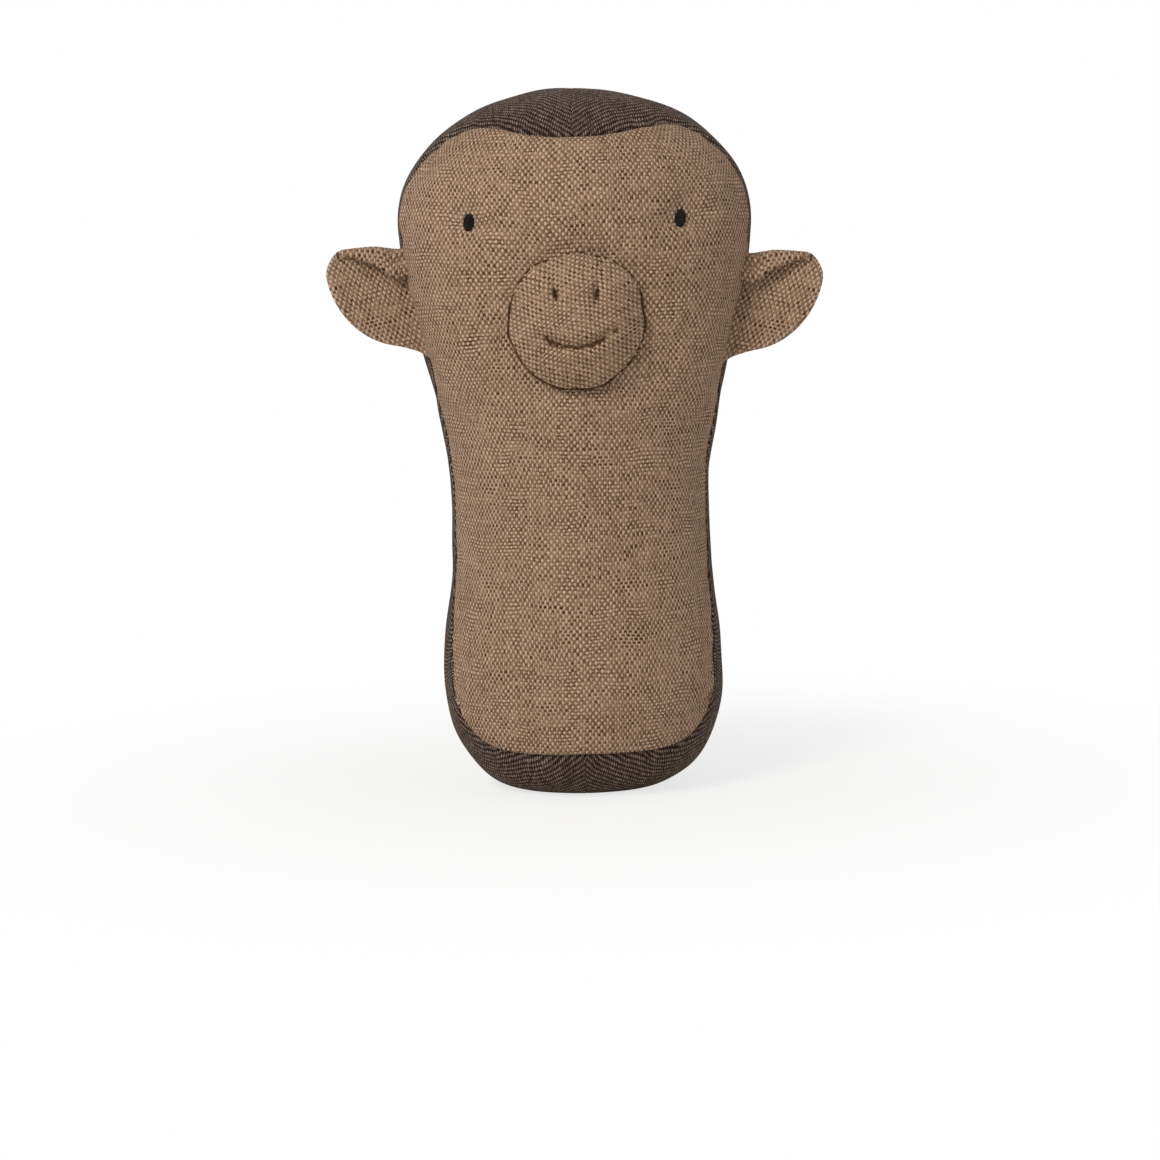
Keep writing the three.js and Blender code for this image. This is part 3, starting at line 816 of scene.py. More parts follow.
# A disc of cloth on the skin inside the seam: rolled in at the seam, sunk by bell curves at the eyes
# and round the muzzle, then swollen
def makeFacePanel():
    p = facePanel
    turn, share = discGrid(p["rows"], p["columns"], p["crowding"])
    angle, z = facePlace(turn, share, -faceSeam["edgeGap"])
    flat = skinPoint(angle, z)
    edge = seamPoint(turn, -faceSeam["edgeGap"])
    distance = np.linalg.norm(flat - edge, axis=-1)
    normal = skinNormal(flat)
    fromEyeSide = np.abs(flat[..., 0]) - eye["spacing"] / 2
    aboveEye = flat[..., 2] - eye["height"]
    fromEye = np.hypot(fromEyeSide, aboveEye)
    aboveMuzzle = flat[..., 2] - muzzle["height"]
    fromMuzzle = np.hypot(flat[..., 0], aboveMuzzle)
    fromMuzzle = fromMuzzle - muzzleReach(np.arctan2(flat[..., 0], aboveMuzzle))
    depth = valley(distance, faceSeam["rollWidth"], faceSeam["rollDepth"])
    depth = depth + eye["dimple"] * hill(fromEye, eye["dimpleWidth"])
    fold = aboveEye + eye["creaseBend"] * fromEyeSide * fromEyeSide + eye["creaseBelow"]
    crease = hill(fold, eye["creaseWidth"]) * hill(fromEyeSide, eye["creaseLength"])
    depth = depth + eye["creaseDepth"] * crease
    depth = depth + muzzle["groove"] * hill(fromMuzzle - muzzle["grooveOut"], muzzle["grooveWidth"])
    free = (1 - hill(distance, p["insetReach"])) * (fromMuzzle > 0)
    depth = depth + p["inset"] * free * offWaist(z)
    points = flat - normal * depth[..., None]
    u = p["weaveTightness"] * angle * mix(halfWidth(z), p["weaveWidth"], p["weaveEven"])
    v = np.interp(z, levels, frontLength)
    faces = gridFaces(p["rows"] + 1, p["columns"] + 1)
    piece = makePiece("face_panel_linen", points, faces, tanLinen, np.stack([u, v], -1))
    held = (share > 0.999) | (fromEye < p["heldRoundEye"]) | (fromMuzzle < p["heldRoundMuzzle"])
    swell(piece, held.ravel(), p["swellCap"], offWaist(z))
    places = pointsOf(piece).reshape(points.shape)
    lumpy = lumps(flat) * (1 - hill(np.maximum(0, fromMuzzle), p["lumpsFromMuzzle"]))
    ripple = lumpy + puckers(turn * seamHalf, distance, p, p["puckerPhase"])
    places += normal * ripple[..., None]
    movePoints(piece.data, inMetres(places))
    thicken(piece, stuffedForm["clothThickness"])
    standFor(piece, "face_panel")
    return places.reshape(-1, 3)


facePoints = makeFacePanel()
print("face panel made")

# Back panels

backPanel = {
    "rows": 140,
    "columns": 60,
    "crowding": 0.5,
    "castTop": mix(stuffedForm["waistHeight"], stuffedForm["cheekHeight"], 0.9),
    "castFoot": mix(stuffedForm["bellyHeight"], stuffedForm["waistHeight"], 0.2),
    "castBeyond": 0.6,  # mm beyond the face seam where the turns start and end
    "end": 0.0012,  # share of the turn left where the three panels meet
    "swellCap": 0.5,
    "inset": 0.35,
    "insetReach": 4.0,  # how far from the face seam the inset sets in
    "insetReachBack": 6.0,  # and from the seam down the middle
    "heldEdge": 0.02,
    "rollWidth": 0.6,  # at the seam down the middle of the back
    "rollDepth": 0.14,
    "edgeGap": -0.1,  # the cloth edges press together
    "puckerLength": 4.6,
    "puckerDepth": 0.2,
    "puckerReach": 3.0,
    "smoothFoot": 2.0,  # no lumps or puckers where the foot stands, and fewer up to this height
}
topSeam = seamPoint(np.array(0.0), backPanel["castBeyond"])
footSeam = seamPoint(np.array(np.pi), backPanel["castBeyond"])
topTurn = math.atan2(topSeam[2] - backPanel["castTop"], topSeam[1])
footTurn = math.atan2(footSeam[2] - backPanel["castFoot"], footSeam[1])


# The ray to the middle of the back: it starts on the axis and turns evenly from the hair peak
# over the crown, down the back and under the foot to the front
def backRay(turn):
    up = 1 - turn / (np.pi / 2)
    lift = np.where(up > 0, up * topTurn, -up * footTurn)
    height = mix(backPanel["castFoot"], backPanel["castTop"], (1 + np.cos(turn)) / 2)
    nothing = np.zeros_like(turn)
    start = np.stack([nothing, nothing, height], -1)
    return start, np.stack([nothing, np.cos(lift), np.sin(lift)], -1)


# Directions turned evenly from the face seam to the middle of the back, cast to the skin
def makeBackPanel(name, side):
    p = backPanel
    down = np.linspace(p["end"], 1 - p["end"], p["rows"] + 1)[:, None]
    along = (1 + crowd(np.linspace(-1, 1, p["columns"] + 1), p["crowding"]))[None, :] / 2
    turn = np.pi * down + 0 * along
    start, middle = backRay(turn)
    start[..., 0] = side * p["edgeGap"]
    edge = seamPoint(side * turn, faceSeam["edgeGap"])
    toSeam = unit(edge - start)
    apart = np.arccos(np.clip((toSeam * middle).sum(-1), -1, 1))[..., None]
    share = along[..., None] + 0 * apart
    ray = unit(toSeam * np.sin((1 - share) * apart) + middle * np.sin(share * apart))
    flat = castToSkin(start, ray)
    normal = skinNormal(flat)
    fromFace = np.linalg.norm(flat - flat[:, :1], axis=-1)
    fromMiddle = np.linalg.norm(flat - flat[:, -1:], axis=-1)
    depth = np.maximum(
        valley(fromFace, faceSeam["rollWidth"], faceSeam["rollDepth"]),
        valley(fromMiddle, p["rollWidth"], p["rollDepth"]),
    )
    taken = (1 - hill(fromMiddle, p["insetReachBack"])) * offWaist(flat[..., 2])
    depth = depth + p["inset"] * (1 - hill(fromFace, p["insetReach"])) * taken
    points = flat - normal * depth[..., None]
    across = side * lengthAlong(flat[:, ::-1], 1)[:, ::-1]
    downLength = lengthAlong(flat[:, -1], 0)[:, None] + 0 * across
    faces = gridFaces(p["rows"] + 1, p["columns"] + 1)
    if side < 0:
        faces = faces[:, ::-1]
    cloth = np.stack([across, -downLength], -1)
    piece = makePiece(name + "_linen", points, faces, darkLinen, cloth)
    held = np.minimum(fromFace, fromMiddle) < p["heldEdge"]
    swell(piece, held.ravel(), p["swellCap"], taken)
    places = pointsOf(piece).reshape(points.shape)
    phase = 1.0 + side
    ripple = lumps(flat) + puckers(turn * seamHalf, fromFace, p, phase)
    ripple = ripple + puckers(downLength, fromMiddle, p, phase + 2)
    ripple = ripple * np.clip(places[..., 2] / p["smoothFoot"], 0, 1)
    places += normal * ripple[..., None]
    places[..., 2] = np.maximum(places[..., 2], 0)
    movePoints(piece.data, inMetres(places))
    thicken(piece, stuffedForm["clothThickness"])
    standFor(piece, name)


for sideName, side in sides.items():
    makeBackPanel("back_panel_" + sideName, side)
print("back panels made")

# Seam threads

seamStitch = {
    "radius": 0.2,
    "sides": 6,
    "faceSteps": 1500,  # of the line whose length is measured
    "backSteps": 800,
    "pitch": 2.2,  # mm from stitch to stitch
    "across": 0.4,  # how far each stitch reaches to either side of the seam
    "depth": 0.95,  # under the skin
    "pointsPerStitch": 8,
    "runGap": 0.008,  # left between two runs, as a share of the seam's turn
}
closingStitch = {  # the hand-sewn stretch of the back seam
    "start": 0.5,  # shares of the seam's turn
    "end": 0.62,
    "pitch": 3.0,
    "across": 0.7,
    "depth": 0.08,
}


# Evenly spaced shares of a line: lengths are added up along it and read backwards
def evenShares(line, spacing):
    lengths = lengthAlong(line, 0)
    count = max(8, int(lengths[-1] / spacing))
    return np.interp(np.linspace(0, lengths[-1], count), lengths, np.linspace(0, 1, len(line)))


# Stitches that cross the seam from side to side: a rounded zigzag
def zigzag(count, perStitch):
    return np.sin(np.pi * (np.arange(count) / perStitch + 0.5))


# The seam down the back: rays to its middle, started a little aside and cast to the skin
def backSeamLine(share, across, inset):
    start, ray = backRay(np.pi * share)
    start[..., 0] = across
    return castToSkin(start, ray, inset)


def sewSeam(node, path):
    name = node.replace("thread", "stitches")
    away = skinNormal(path)[None]
    makeThread(name, node, path[None], seamStitch, away, brownThread)


def makeFaceSeamThread():
    s = seamStitch
    dense = np.linspace(s["runGap"], 1 - s["runGap"], s["faceSteps"])
    share = evenShares(seamPoint(2 * np.pi * dense, 0.0), s["pitch"] / s["pointsPerStitch"])
    turn = 2 * np.pi * mix(dense[0], dense[-1], share)
    across = s["across"] * zigzag(turn.size, s["pointsPerStitch"])
    sewSeam("face_seam_thread", seamPoint(turn, across, s["depth"]))


def makeBackSeamThread(node, first, last, stitch):
    perStitch = seamStitch["pointsPerStitch"]
    dense = np.linspace(first, last, seamStitch["backSteps"])
    share = evenShares(backSeamLine(dense, 0.0, stitch["depth"]), stitch["pitch"] / perStitch)
    across = stitch["across"] * zigzag(share.size, perStitch)
    sewSeam(node, backSeamLine(mix(first, last, share), across, stitch["depth"]))


makeFaceSeamThread()
gap = seamStitch["runGap"]
for node, first, last, stitch in (
    ("back_seam_thread_upper", gap, closingStitch["start"] - gap, seamStitch),
    ("closing_thread", closingStitch["start"], closingStitch["end"], closingStitch),
    ("back_seam_thread_lower", closingStitch["end"] + gap, 1 - gap, seamStitch),
):
    makeBackSeamThread(node, first, last, stitch)
print("seam threads made")

# Muzzle

muzzlePatch = {
    "rows": 60,
    "crowding": 0.6,
    "thickness": 0.6,  # mm
    "rollWidth": 2.9,  # edge turned under
    "grain": math.radians(-38),  # the round was cut at a slant to the weave
    "weaveTightness": 1.06,
    "puckerCount": 26,
    "puckerDepth": 0.16,
    "puckerIn": 2.2,  # in from the edge
    "puckerWidth": 1.6,
    "pleat": 0.6,  # at the foot of the round
    "pleatAside": 0.4,
    "pleatWidth": 0.7,
    "pleatLength": 0.12,  # as a share of the radius
}
nostril = {
    "spacing": 8.0,
    "above": 5.7,
    "halfWidth": 0.32,
    "halfHeight": 1.6,
    "strands": 3,
    "dome": 0.14,
    "sink": 0.3,
    "lean": 0.17,
    "dimple": 1.5,
    "dimpleAbove": 0.4,
    "dimpleWidth": 0.75,
    "dimpleHeight": 2.5,
}
mouth = {
    "halfWidth": 7.0,
    "below": 4.6,
    "cornerLift": 2.5,
    "tilt": 0.03,  # the right corner was sewn a little higher
    "groove": 1.1,
    "grooveWidth": 0.85,
    "grooveLeast": 0.5,  # share of the groove, and where across it is drawn in more or less
    "grooveDraws": ((-4.7, 1.5, 0.5), (4.4, 1.3, 0.5), (6.4, 0.6, -0.4)),
    "lip": 0.6,  # swell over and under the mouth
    "lipOut": 2.0,
    "lipWidth": 1.1,
    "cornerDimple": 0.45,  # at the left corner
    "cornerShare": -0.68,
    "cornerWidth": 1.2,
    "radius": 0.3,
    "sides": 8,
    "proud": 0.15,
    "sink": 0.3,
    # each stitch's two ends, as shares of the half width, and its slant in mm
    "stitches": (
        (-0.88, -0.72, -1.5),
        (-0.84, -0.6, 0.8),
        (-0.72, -0.52, -1.3),
        (-0.62, -0.46, 0.9),
        (-0.44, -0.18, 0.35),
        (-0.2, 0.02, -0.5),
        (-0.02, 0.24, 0.4),
        (0.24, 0.42, -0.7),
        (0.38, 0.56, 1.0),
        (0.5, 0.62, -0.9),
        (0.58, 0.78, 0.9),
        (1.02, 1.1, 0.25),
    ),
}


def mouthHeight(x):  # a parabola whose corners lift
    lift = mouth["cornerLift"] * (x / mouth["halfWidth"]) ** 2
    return muzzle["height"] - mouth["below"] + lift + mouth["tilt"] * x


# How far the mouth draws the patch in: a groove of uneven depth along it, less the lips beside it,
# and a dimple at its left corner, all bell curves
def mouthDraw(x, z):
    m = mouth
    beyond = np.maximum(0, np.abs(x) - m["halfWidth"])
    fromMouth = np.hypot(z - mouthHeight(np.clip(x, -m["halfWidth"], m["halfWidth"])), beyond)
    drawn = m["grooveLeast"]
    for middle, width, more in m["grooveDraws"]:
        drawn = drawn + more * hill(x - middle, width)
    groove = m["groove"] * drawn * hill(fromMouth, m["grooveWidth"])
    lips = m["lip"] * hill(fromMouth - m["lipOut"], m["lipWidth"])
    cornerX = m["cornerShare"] * m["halfWidth"]
    corner = hill(np.hypot(x - cornerX, z - mouthHeight(cornerX)), m["cornerWidth"])
    return groove - lips + m["cornerDimple"] * corner


# Lift of the patch's outside over the face: base plus rise times (1 - r^fullness), rolled under
# by a quarter ellipse at its edge and drawn in along the mouth and at the nostrils
def patchLift(x, z):
    p = muzzlePatch
    up = z - muzzle["height"]
    radius = np.hypot(x, up)
    turn = np.arctan2(x, up)
    reach = muzzleReach(turn)
    share = np.minimum(1, radius / reach)
    lift = muzzle["baseLift"] + muzzle["rise"] * (1 - share ** muzzle["fullness"])
    lift = lift * quarter(np.clip((radius - reach + p["rollWidth"]) / p["rollWidth"], 0, 1))
    edge = hill(radius - reach + p["puckerIn"], p["puckerWidth"])
    lift = lift + p["puckerDepth"] * edge * np.sin(p["puckerCount"] * turn)
    lift = lift - mouthDraw(x, z)
    pleat = hill(x - p["pleatAside"], p["pleatWidth"]) * hill(share - 1, p["pleatLength"])
    lift = lift - p["pleat"] * pleat
    above = up - nostril["above"] - nostril["dimpleAbove"]
    aside = np.abs(x) - nostril["spacing"] / 2 - nostril["lean"] * above
    oval = np.hypot(aside / nostril["dimpleWidth"], above / nostril["dimpleHeight"])
    return lift - nostril["dimple"] * hill(oval, 1.0)


def muzzleDepth(x, z):  # the face's depth less the patch's lift
    return faceDepth(x, z) - patchLift(x, z)


# A disc of cloth in the front view, at the muzzle's depth
def makeMuzzlePatch():
    p = muzzlePatch
    turn, share = discGrid(p["rows"], p["rows"], p["crowding"])
    x = muzzleReach(turn) * share * np.sin(turn)
    up = muzzleReach(turn) * share * np.cos(turn)
    z = muzzle["height"] + up
    points = np.stack([x, muzzleDepth(x, z), z], -1)
    cloth = rotated(x, up, p["grain"]) * p["weaveTightness"]
    faces = gridFaces(p["rows"] + 1, p["rows"] + 1)
    piece = makePiece("muzzle_patch_linen", points, faces, tanLinen, cloth)
    thicken(piece, p["thickness"])
    standFor(piece, "muzzle_patch")


makeMuzzlePatch()

# Stitches

muzzleStitch = {
    "radius": 0.22,
    "sides": 6,
    "count": 46,
    "share": 1.04,  # of the room for each stitch, so that they overlap
    "outside": 0.2,  # beyond the patch's edge, mm
    "waver": 0.1,
    "waverCount": 17,
    "proud": 0.16,
    "proudWander": 0.16,
    "wanderTurn": 1.3,
    "wanderPhase": 0.8,
    "topSink": 0.35,  # the stitches at the top lie deeper in the cloth
    "topSpan": 0.3,
    "sink": 0.2,
}
front = np.array([0.0, -1.0, 0.0])
stitchShare = np.linspace(0, 1, 9)[None, :]


# Stitches in the front view: each lies proud in its middle and dives in at its ends
def stitchPaths(x, z, depthAt, proud, sink):
    lift = mix(-sink, proud, quarter((2 * stitchShare - 1) ** 2))
    return np.stack([x, depthAt(x, z) - lift, z], -1)


def faceOn(x, z):
    return depthOn(facePoints, x, z)


# Stitches end to end round the muzzle's edge, at uneven depths
def makeMuzzleThread():
    s = muzzleStitch
    number = np.arange(s["count"])[:, None] + 0.5
    turn = 2 * np.pi * (number + s["share"] * (stitchShare - 0.5)) / s["count"]
    radius = muzzleReach(turn) + s["outside"] + s["waver"] * np.sin(s["waverCount"] * turn)
    middle = 2 * np.pi * number / s["count"]
    proud = s["proud"] - s["topSink"] * hill(np.sin(middle / 2), s["topSpan"])
    proud = proud + s["proudWander"] * wander(middle, s["wanderTurn"], s["wanderPhase"])
    z = muzzle["height"] + radius * np.cos(turn)
    paths = stitchPaths(radius * np.sin(turn), z, faceOn, proud, s["sink"])
    makeThread("muzzle_stitches", "muzzle_thread", paths, s, front, mouthCotton)


# Single stitches, each from its first to its last share across, slanting over the mouth's curve
def makeMouthThread():
    first, last, slant = np.array(mouth["stitches"]).T[..., None]
    x = mouth["halfWidth"] * mix(first, last, stitchShare)
    z = mouthHeight(x) + slant * (stitchShare - 0.5)
    paths = stitchPaths(x, z, muzzleDepth, mouth["proud"], mouth["sink"])
    makeThread("mouth_stitches", "mouth_thread", paths, mouth, front, mouthCotton)


makeMuzzleThread()
makeMouthThread()

satin = {"radius": 0.18, "sides": 6, "steps": 11, "outerStrand": 0.86, "proud": 0.1}


# Satin stitch: strands side by side across an oval, each domed over a padded middle. A strand at
# a share of the half width is as long as the oval there.
def satinPaths(oval, middle, lean, depthAt):
    aside = np.linspace(-satin["outerStrand"], satin["outerStrand"], oval["strands"])[:, None]
    along = np.linspace(-1, 1, satin["steps"])[None, :]
    up = along * quarter(aside) * oval["halfHeight"]
    x = middle[0] + aside * oval["halfWidth"] + lean * up
    z = middle[1] + up
    lift = oval["dome"] * quarter(aside) * quarter(along)
    lift = lift + mix(-oval["sink"], satin["proud"], quarter(along**3))
    return np.stack([x, depthAt(x, z) - lift, z], -1)


for sideName, side in sides.items():
    eyeMiddle = (side * eye["spacing"] / 2, eye["height"])
    paths = satinPaths(eye, eyeMiddle, eye["lean"], faceOn)
    name = "eye_stitches_" + sideName
    makeThread(name, "eye_" + sideName, paths, satin, front, blackThread)
    nostrilMiddle = (side * nostril["spacing"] / 2, muzzle["height"] + nostril["above"])
    paths = satinPaths(nostril, nostrilMiddle, side * nostril["lean"], muzzleDepth)
    name = "nostril_stitches_" + sideName
    makeThread(name, "nostril_" + sideName, paths, satin, front, brownThread)
print("muzzle, eyes and mouth made")

# Ears

ear = {
    "reach": 14.5,
    "middleHeight": 102.5,
    "lift": {"left": 1.9, "right": -0.4},  # the left one was sewn on higher
    "upperCut": 11.8,  # height of the flat cloth above the middle, the fold included
    "lowerCut": 14.0,
    "upperTaper": 2.2,
    "lowerTaper": 0.75,
    "foldAboveMiddle": 5.3,
    "foldDroop": 1.2,
    "foldDip": 0.5,  # where the fold is drawn down into the seam
    "foldDipOut": 1.0,
    "foldDipWidth": 1.8,
    "rollRadius": 1.3,
    "rollAngle": math.radians(165),
    "cup": 1.6,
    "standOff": 0.95,
    "tuck": 1.5,  # how far the base goes into the seam
    "endAngle": math.radians(80),
    "filletDrop": 2.4,  # how far the lower edge sweeps down along the seam
    "filletTuck": 0.4,
    "gather": 0.3,  # pleats at the base
    "gatherReach": 2.6,
    "gatherPitch": 2.7,
    "gatherAbove": 2.0,
    "flapRows": 18,
    "rollRows": 24,
    "lowerRows": 40,
    "filletRows": 12,
    "columns": 34,
    "edgeRoll": 1.0,
    "edgeSpare": 0.2,
    "edgeThickness": 0.08,
    "spareThickness": 0.1,
    "baseThickness": 0.55,  # share of the thickness where the layers are sewn flat
    "baseIn": 1.0,  # it grows to all of it from here inside the base
    "baseSpan": 3.0,
    "layerGap": 0.04,  # from the middle to each layer
    "grain": math.radians(8),
    "outward": (0.985, 0.0, -0.17),  # direction in which the cloth stands out from the seam
    "bendStart": -0.5,  # stretch along it over which the cloth bends
    "bendEnd": 4.0,
}


# Rows of the ear from the flap's end to the foot: the turn round the outline, and the share of the
# fillet that follows it
def earRows():
    e = ear
    foldStart = e["foldAboveMiddle"] - e["rollRadius"]
    rollLength = e["rollRadius"] * e["rollAngle"]
    rollStart = math.asin(foldStart / e["upperCut"])
    rollEnd = math.asin((foldStart + rollLength) / e["upperCut"])
    flap = np.linspace(e["endAngle"], rollEnd, e["flapRows"], endpoint=False)
    roll = np.linspace(rollEnd, rollStart, e["rollRows"], endpoint=False)
    lower = np.linspace(rollStart, -e["endAngle"], e["lowerRows"])
    fillet = np.linspace(0, 1, e["filletRows"] + 1)[1:]
    turn = np.concatenate([flap, roll, lower, np.full(fillet.size, -e["endAngle"])])
    fall = np.concatenate([np.zeros(turn.size - fillet.size), fillet])
    return turn[:, None], fall[:, None]


# Cloth that stands out from the seam, reach * cos(turn)^taper wide. Above the fold it winds
# forwards on the roll radius, and what is left hangs straight down.
def earMiddle(turn, fall, along, middleHeight):
    e = ear
    upper = turn > 0
    taper = np.where(upper, e["upperTaper"], e["lowerTaper"])
    up = np.where(upper, e["upperCut"], e["lowerCut"]) * np.sin(turn) - e["filletDrop"] * fall
    rim = e["reach"] * np.cos(turn) ** taper
    rim = mix(-e["standOff"] - e["filletTuck"], rim, (1 - fall) ** 2)
    out = mix(-e["standOff"] - e["tuck"], rim, along)
    up = up + 0 * out
    foldStart = e["foldAboveMiddle"] - e["rollRadius"] - e["foldDroop"] * (out / e["reach"]) ** 2
    foldStart = foldStart - e["foldDip"] * hill(out - e["foldDipOut"], e["foldDipWidth"])
    rollLength = e["rollRadius"] * e["rollAngle"]
    rolled = np.maximum(0, up - foldStart)
    roll = np.minimum(rolled, rollLength) / e["rollRadius"]
    flap = np.maximum(0, rolled - rollLength)
    rise = e["rollRadius"] * np.sin(roll) + flap * np.cos(roll)
    forward = e["rollRadius"] * (1 - np.cos(roll)) + flap * np.sin(roll)
    z = middleHeight + np.minimum(up, foldStart) + rise
    cup = e["cup"] * (np.maximum(0, out) / e["reach"]) ** 2
    base = skinPoint(seamAngleAt(z), z)
    x = base[..., 0] + e["standOff"] + out
    return np.stack([x, base[..., 1] - forward - cup, z], -1), out, up, rim


# Thickness of a layer: thin at the rim by a quarter ellipse, and at the base by a smooth step
def earThickness(out, up, rim):
    e = ear
    top = e["upperCut"] * math.sin(e["endAngle"])
    fromRim = np.minimum(rim - out, top + e["edgeSpare"] - up)
    body = quarter(np.clip(1 - fromRim / e["edgeRoll"], 0, 1))
    full = stuffedForm["clothThickness"] + e["spareThickness"]
    fromBase = ease(np.clip((out + e["baseIn"]) / e["baseSpan"], 0, 1))
    return mix(e["edgeThickness"], full, body) * mix(e["baseThickness"], 1, fromBase)


# Two layers of cloth, one on either side of the middle along its normals, gathered at the base by a
# sine wave
def makeEar(sideName, side):
    e = ear
    turn, fall = earRows()
    along = np.sin(np.linspace(0, np.pi / 2, e["columns"] + 1))[None, :]
    middle, out, up, rim = earMiddle(turn, fall, along, e["middleHeight"] + e["lift"][sideName])
    normal = unit(np.cross(np.gradient(middle, axis=0), np.gradient(middle, axis=1)))
    pleats = np.sin(2 * np.pi * up / e["gatherPitch"]) * (up > e["gatherAbove"])
    pleats = e["gather"] * hill(out, e["gatherReach"]) * pleats
    middle = middle + normal * pleats[..., None]
    thickness = earThickness(out, up, rim)
    cloth = rotated(out, up, e["grain"]).reshape(-1, 2)
    faces = sheetFaces(*out.shape)
    outward = Vector(e["outward"]) * mm
    outward.x *= side
    for layer, facing in (("front", 1), ("back", -1)):
        outer = middle + normal * (facing * thickness)[..., None]
        inner = middle + normal * (facing * e["layerGap"])
        points = np.concatenate([outer.reshape(-1, 3), inner.reshape(-1, 3)]) * [side, 1, 1]
        turned = faces[:, ::-1] if side * facing < 0 else faces
        name = "ear_" + sideName + "_" + layer
        bothFaces = np.concatenate([cloth, cloth])
        piece = makePiece(name + "_linen", points, turned, tanLinen, bothFaces)
        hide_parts(name)
        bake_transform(piece)


for sideName, side in sides.items():
    makeEar(sideName, side)
print("ears made")

# Capsule and beads

capsule = {
    "radius": 14.0,
    "wall": 1.7,
    "corner": 3.0,
    "lap": 2.4,
    "lapGap": 0.3,
    "edge": 0.2,  # slanted off
    "bevel": 0.15,
    "segments": 96,
}


# A closed profile of radius and height turned about the axis: x = r sin, y = -r cos
def makeTurned(name, profile, segments, material):
    radius, height = np.array(profile).T
    turn = 2 * np.pi * np.arange(segments) / segments
    x = np.outer(np.sin(turn), radius)
    y = -np.outer(np.cos(turn), radius)
    points = np.stack([x, y, height + 0 * x], -1)
    piece = makePiece(name, points, gridFaces(*x.shape, wrapRows=True), material)
    mergeDoubles(piece.data, turnOutwards=True)
    piece.data.shade_smooth()
    return piece


def cornerArc(radius, corner, end, tall):  # quarter circle from a flat end to a wall
    turn = np.linspace(0, np.pi / 2, 9)
    out = radius - corner + corner * np.sin(turn)
    return list(zip(out, end + tall * corner * (1 - np.cos(turn))))


def makeCapsule():
    c = capsule
    floor = cupLow.z / mm
    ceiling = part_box("capsule_lid")[1].z / mm
    bore = c["radius"] - c["wall"]
    innerCorner = c["corner"] - c["wall"]
    lapWall = (c["wall"] - c["lapGap"]) / 2
    lapBottom = (floor + ceiling - c["lap"]) / 2
    lapTop = lapBottom + c["lap"]
    cup = [
        (0, floor),
        *cornerArc(c["radius"], c["corner"], floor, 1),
        (c["radius"], lapBottom - c["edge"]),
        (c["radius"] - c["edge"], lapBottom),
        (bore + lapWall, lapBottom),
        (bore + lapWall, lapTop - c["edge"]),
        (bore + lapWall - c["edge"], lapTop),
        (bore, lapTop),
        *cornerArc(bore, innerCorner, floor + c["wall"], 1)[::-1],
        (0, floor + c["wall"]),
    ]
    lid = [
        (0, ceiling - c["wall"]),
        *cornerArc(bore, innerCorner, ceiling - c["wall"], -1),
        (bore, lapTop + c["lapGap"]),
        (c["radius"] - lapWall, lapTop + c["lapGap"]),
        (c["radius"] - lapWall, lapBottom + c["lapGap"]),
        (c["radius"] - c["edge"], lapBottom + c["lapGap"]),
        (c["radius"], lapBottom + c["lapGap"] + c["edge"]),
        *cornerArc(c["radius"], c["corner"], ceiling, -1)[::-1],
        (0, ceiling),
    ]
    for node, profile in (("capsule_cup", cup), ("capsule_lid", lid)):
        piece = makeTurned(node + "_shell", profile, c["segments"], capsulePlastic)
        addModifier(piece, "BEVEL", width=c["bevel"] * mm, segments=2, limit_method="ANGLE")
        standFor(piece, node)


makeCapsule()

bead = {"segments": 40, "rings": 24, "ridge": 0.05, "ridgeWidth": 0.08}


# A ball with a thin moulding ridge round its middle: radius + ridge * bell of the height
def makeBead(node):
    low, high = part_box(node)
    middle = (low + high) / 2
    radius = (high.z - low.z) / 2 / mm
    turn = np.linspace(0, np.pi, bead["rings"] + 1)
    out = radius * np.sin(turn) + bead["ridge"] * hill(np.cos(turn), bead["ridgeWidth"])
    out[[0, -1]] = 0
    profile = np.stack([out, -radius * np.cos(turn)], -1)
    piece = makeTurned(node + "_ball", profile, bead["segments"], beadPlastic)
    piece.data.transform(Matrix.Translation((middle.x, middle.y - depthShift, middle.z)))
    standFor(piece, node, body=node)


for number in range(1, 7):
    makeBead("bead_" + str(number))
print("capsule and beads made")

# Filling

wads = {
    "voxel": 1.3,
    "waves": ((6.0, 0.7), (2.3, 0.25)),  # lengths and depths of lumps and tufts, mm
    "lines": ((1.0, 0.0, 0.4, 0.3), (-0.3, 1.0, 0.0, 1.1), (0.0, 0.2, 1.0, 2.0)),
    "mean": 0.5,  # share of the depth, and how far each line's wave adds to it
    "spread": 0.25,
    "deepest": 1.2,
}


# Lumps of fibre: the solid's surface, drawn in by two sizes of wandering waves along all axes
def makeWad(node, name):
    solid = frame["nodes"][node].data.copy()
    mergeDoubles(solid)
    piece = addObject(name, solid)
    remesh = addModifier(piece, "REMESH", mode="VOXEL", voxel_size=wads["voxel"] * mm)
    fine = bpy.data.meshes.new_from_object(piece.evaluated_get(bpy.context.evaluated_depsgraph_get()))
    piece.modifiers.remove(remesh)
    piece.data = fine
    bpy.data.meshes.remove(solid)
    fine.name = name
    places = readPoints(fine)
    drawn = 0
    for length, depth in wads["waves"]:
        waves = slantWander(places / mm, length, wads["lines"])
        drawn = drawn + depth * (wads["mean"] + wads["spread"] * waves)
    drawn = np.clip(drawn, 0, wads["deepest"]) * mm
    movePoints(fine, places - readPoints(fine, "normal") * drawn[:, None])
    fine.polygons.foreach_set("use_smooth", np.ones(len(fine.polygons), bool))
    fine.materials.clear()
    fine.materials.append(fibreFill)
    standFor(piece, node)


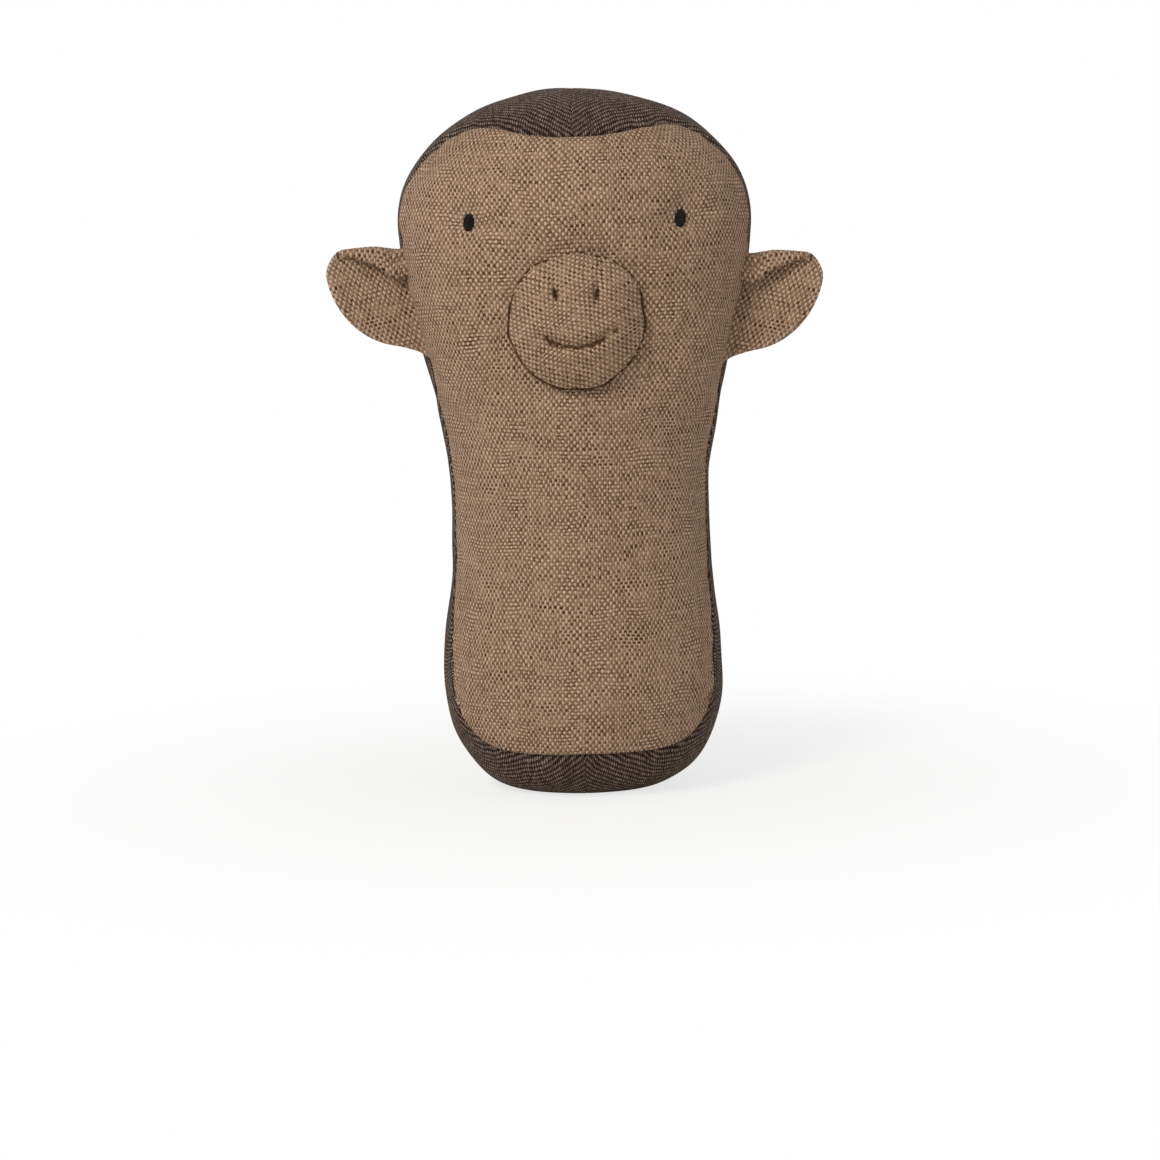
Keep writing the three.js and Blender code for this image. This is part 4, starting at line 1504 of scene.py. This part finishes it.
for node in ("body_filling", "head_filling_front", "head_filling_back"):
    makeWad(node, node.replace("filling", "wad"))
makeWad("muzzle_wad", "muzzle_fibre")
print("filling made")

# Stage, light and camera

stage = {"floorReach": 6.0, "paper": "#f7f5f1", "nearWhite": 0.75, "fadeStart": 0.04, "fadeEnd": 0.16}
light = {
    "sky": 0.46,  # even light from all round
    "aim": (0, 0, 0.08),
    "key_lamp": {"place": (-0.58, -0.85, 0.82), "size": 0.4, "power": 9.1},
    "fill_lamp": {"place": (0.9, -0.6, 0.45), "size": 0.8, "power": 0.7},
}
view = {
    "elevation": math.radians(7),
    "roll": math.radians(-1.2),
    "distance": 0.6696,
    "lens": 102.2,
    "sensor": 36.0,
    "aim": (-0.0004, 0.0, 0.042),
}
white = (1, 1, 1, 1)


# 1 for rays from the camera and those that reach the backdrop by gloss or through glass
def seenDirectly(tree):
    path = addNode(tree, "LightPath").outputs
    seen = 0.0
    for kind in ("Camera", "Glossy", "Transmission"):
        inputs = {0: seen, 1: path["Is " + kind + " Ray"]}
        seen = addNode(tree, "Math", inputs, operation="MAXIMUM").outputs[0]
    return seen


# A pale floor that turns to plain white for the camera away from the toy
def makeFloor():
    material, tree = newMaterial("pale_paper")
    place = addNode(tree, "TexCoord").outputs["Object"]
    away = addNode(tree, "VectorMath", {0: place}, operation="LENGTH")
    fadeInputs = {
        "Value": away.outputs["Value"],
        "From Min": stage["fadeStart"],
        "From Max": stage["fadeEnd"],
        "To Min": stage["nearWhite"],
    }
    fade = addNode(tree, "MapRange", fadeInputs, interpolation_type="SMOOTHSTEP")
    seenInputs = {0: fade.outputs[0], 1: seenDirectly(tree)}
    seen = addNode(tree, "Math", seenInputs, operation="MULTIPLY")
    paperInputs = {"Base Color": hexColour(stage["paper"]), "Roughness": 0.9, "Specular IOR Level": 0.1}
    paper = addNode(tree, "BsdfPrincipled", paperInputs)
    glow = addNode(tree, "Emission", {"Color": white, "Strength": 1.0})
    mixInputs = {0: seen.outputs[0], 1: paper.outputs["BSDF"], 2: glow.outputs["Emission"]}
    both = addNode(tree, "MixShader", mixInputs)
    addNode(tree, "OutputMaterial", {"Surface": both.outputs["Shader"]})
    reach = stage["floorReach"]
    mesh = bpy.data.meshes.new("floor")
    corners = [(-reach, -reach, 0), (reach, -reach, 0), (reach, reach, 0), (-reach, reach, 0)]
    mesh.from_pydata(corners, [], [(0, 1, 2, 3)])
    mesh.materials.append(material)
    addObject("floor", mesh)


def makeWorld():
    world = bpy.data.worlds.new("studio")
    bpy.context.scene.world = world
    world.use_nodes = True
    tree = world.node_tree
    tree.nodes.clear()
    sky = addNode(tree, "Background", {"Color": white, "Strength": light["sky"]})
    plain = addNode(tree, "Background", {"Color": white, "Strength": 1.0})
    mixInputs = {0: seenDirectly(tree), 1: sky.outputs[0], 2: plain.outputs[0]}
    both = addNode(tree, "MixShader", mixInputs)
    addNode(tree, "OutputWorld", {"Surface": both.outputs["Shader"]})


def makeLamp(name):
    lamp = bpy.data.lights.new(name, "AREA")
    lamp.shape = "DISK"
    lamp.size = light[name]["size"]
    lamp.energy = light[name]["power"]
    holder = addObject(name, lamp)
    holder.location = light[name]["place"]
    aim = Vector(light["aim"]) - Vector(light[name]["place"])
    holder.rotation_euler = aim.to_track_quat("-Z", "Y").to_euler()


def makeCamera():
    lens = bpy.data.cameras.new("camera")
    lens.lens = view["lens"]
    lens.sensor_width = view["sensor"]
    camera = addObject("camera", lens)
    back = Vector((0, -math.cos(view["elevation"]), math.sin(view["elevation"])))
    camera.location = Vector(view["aim"]) + back * view["distance"]
    roll = Quaternion((0, 0, 1), view["roll"])
    camera.rotation_euler = ((-back).to_track_quat("-Z", "Y") @ roll).to_euler()
    bpy.context.scene.camera = camera


makeFloor()
makeWorld()
makeLamp("key_lamp")
makeLamp("fill_lamp")
makeCamera()
bpy.context.scene.view_settings.view_transform = "Standard"
print("stage, light and camera made")
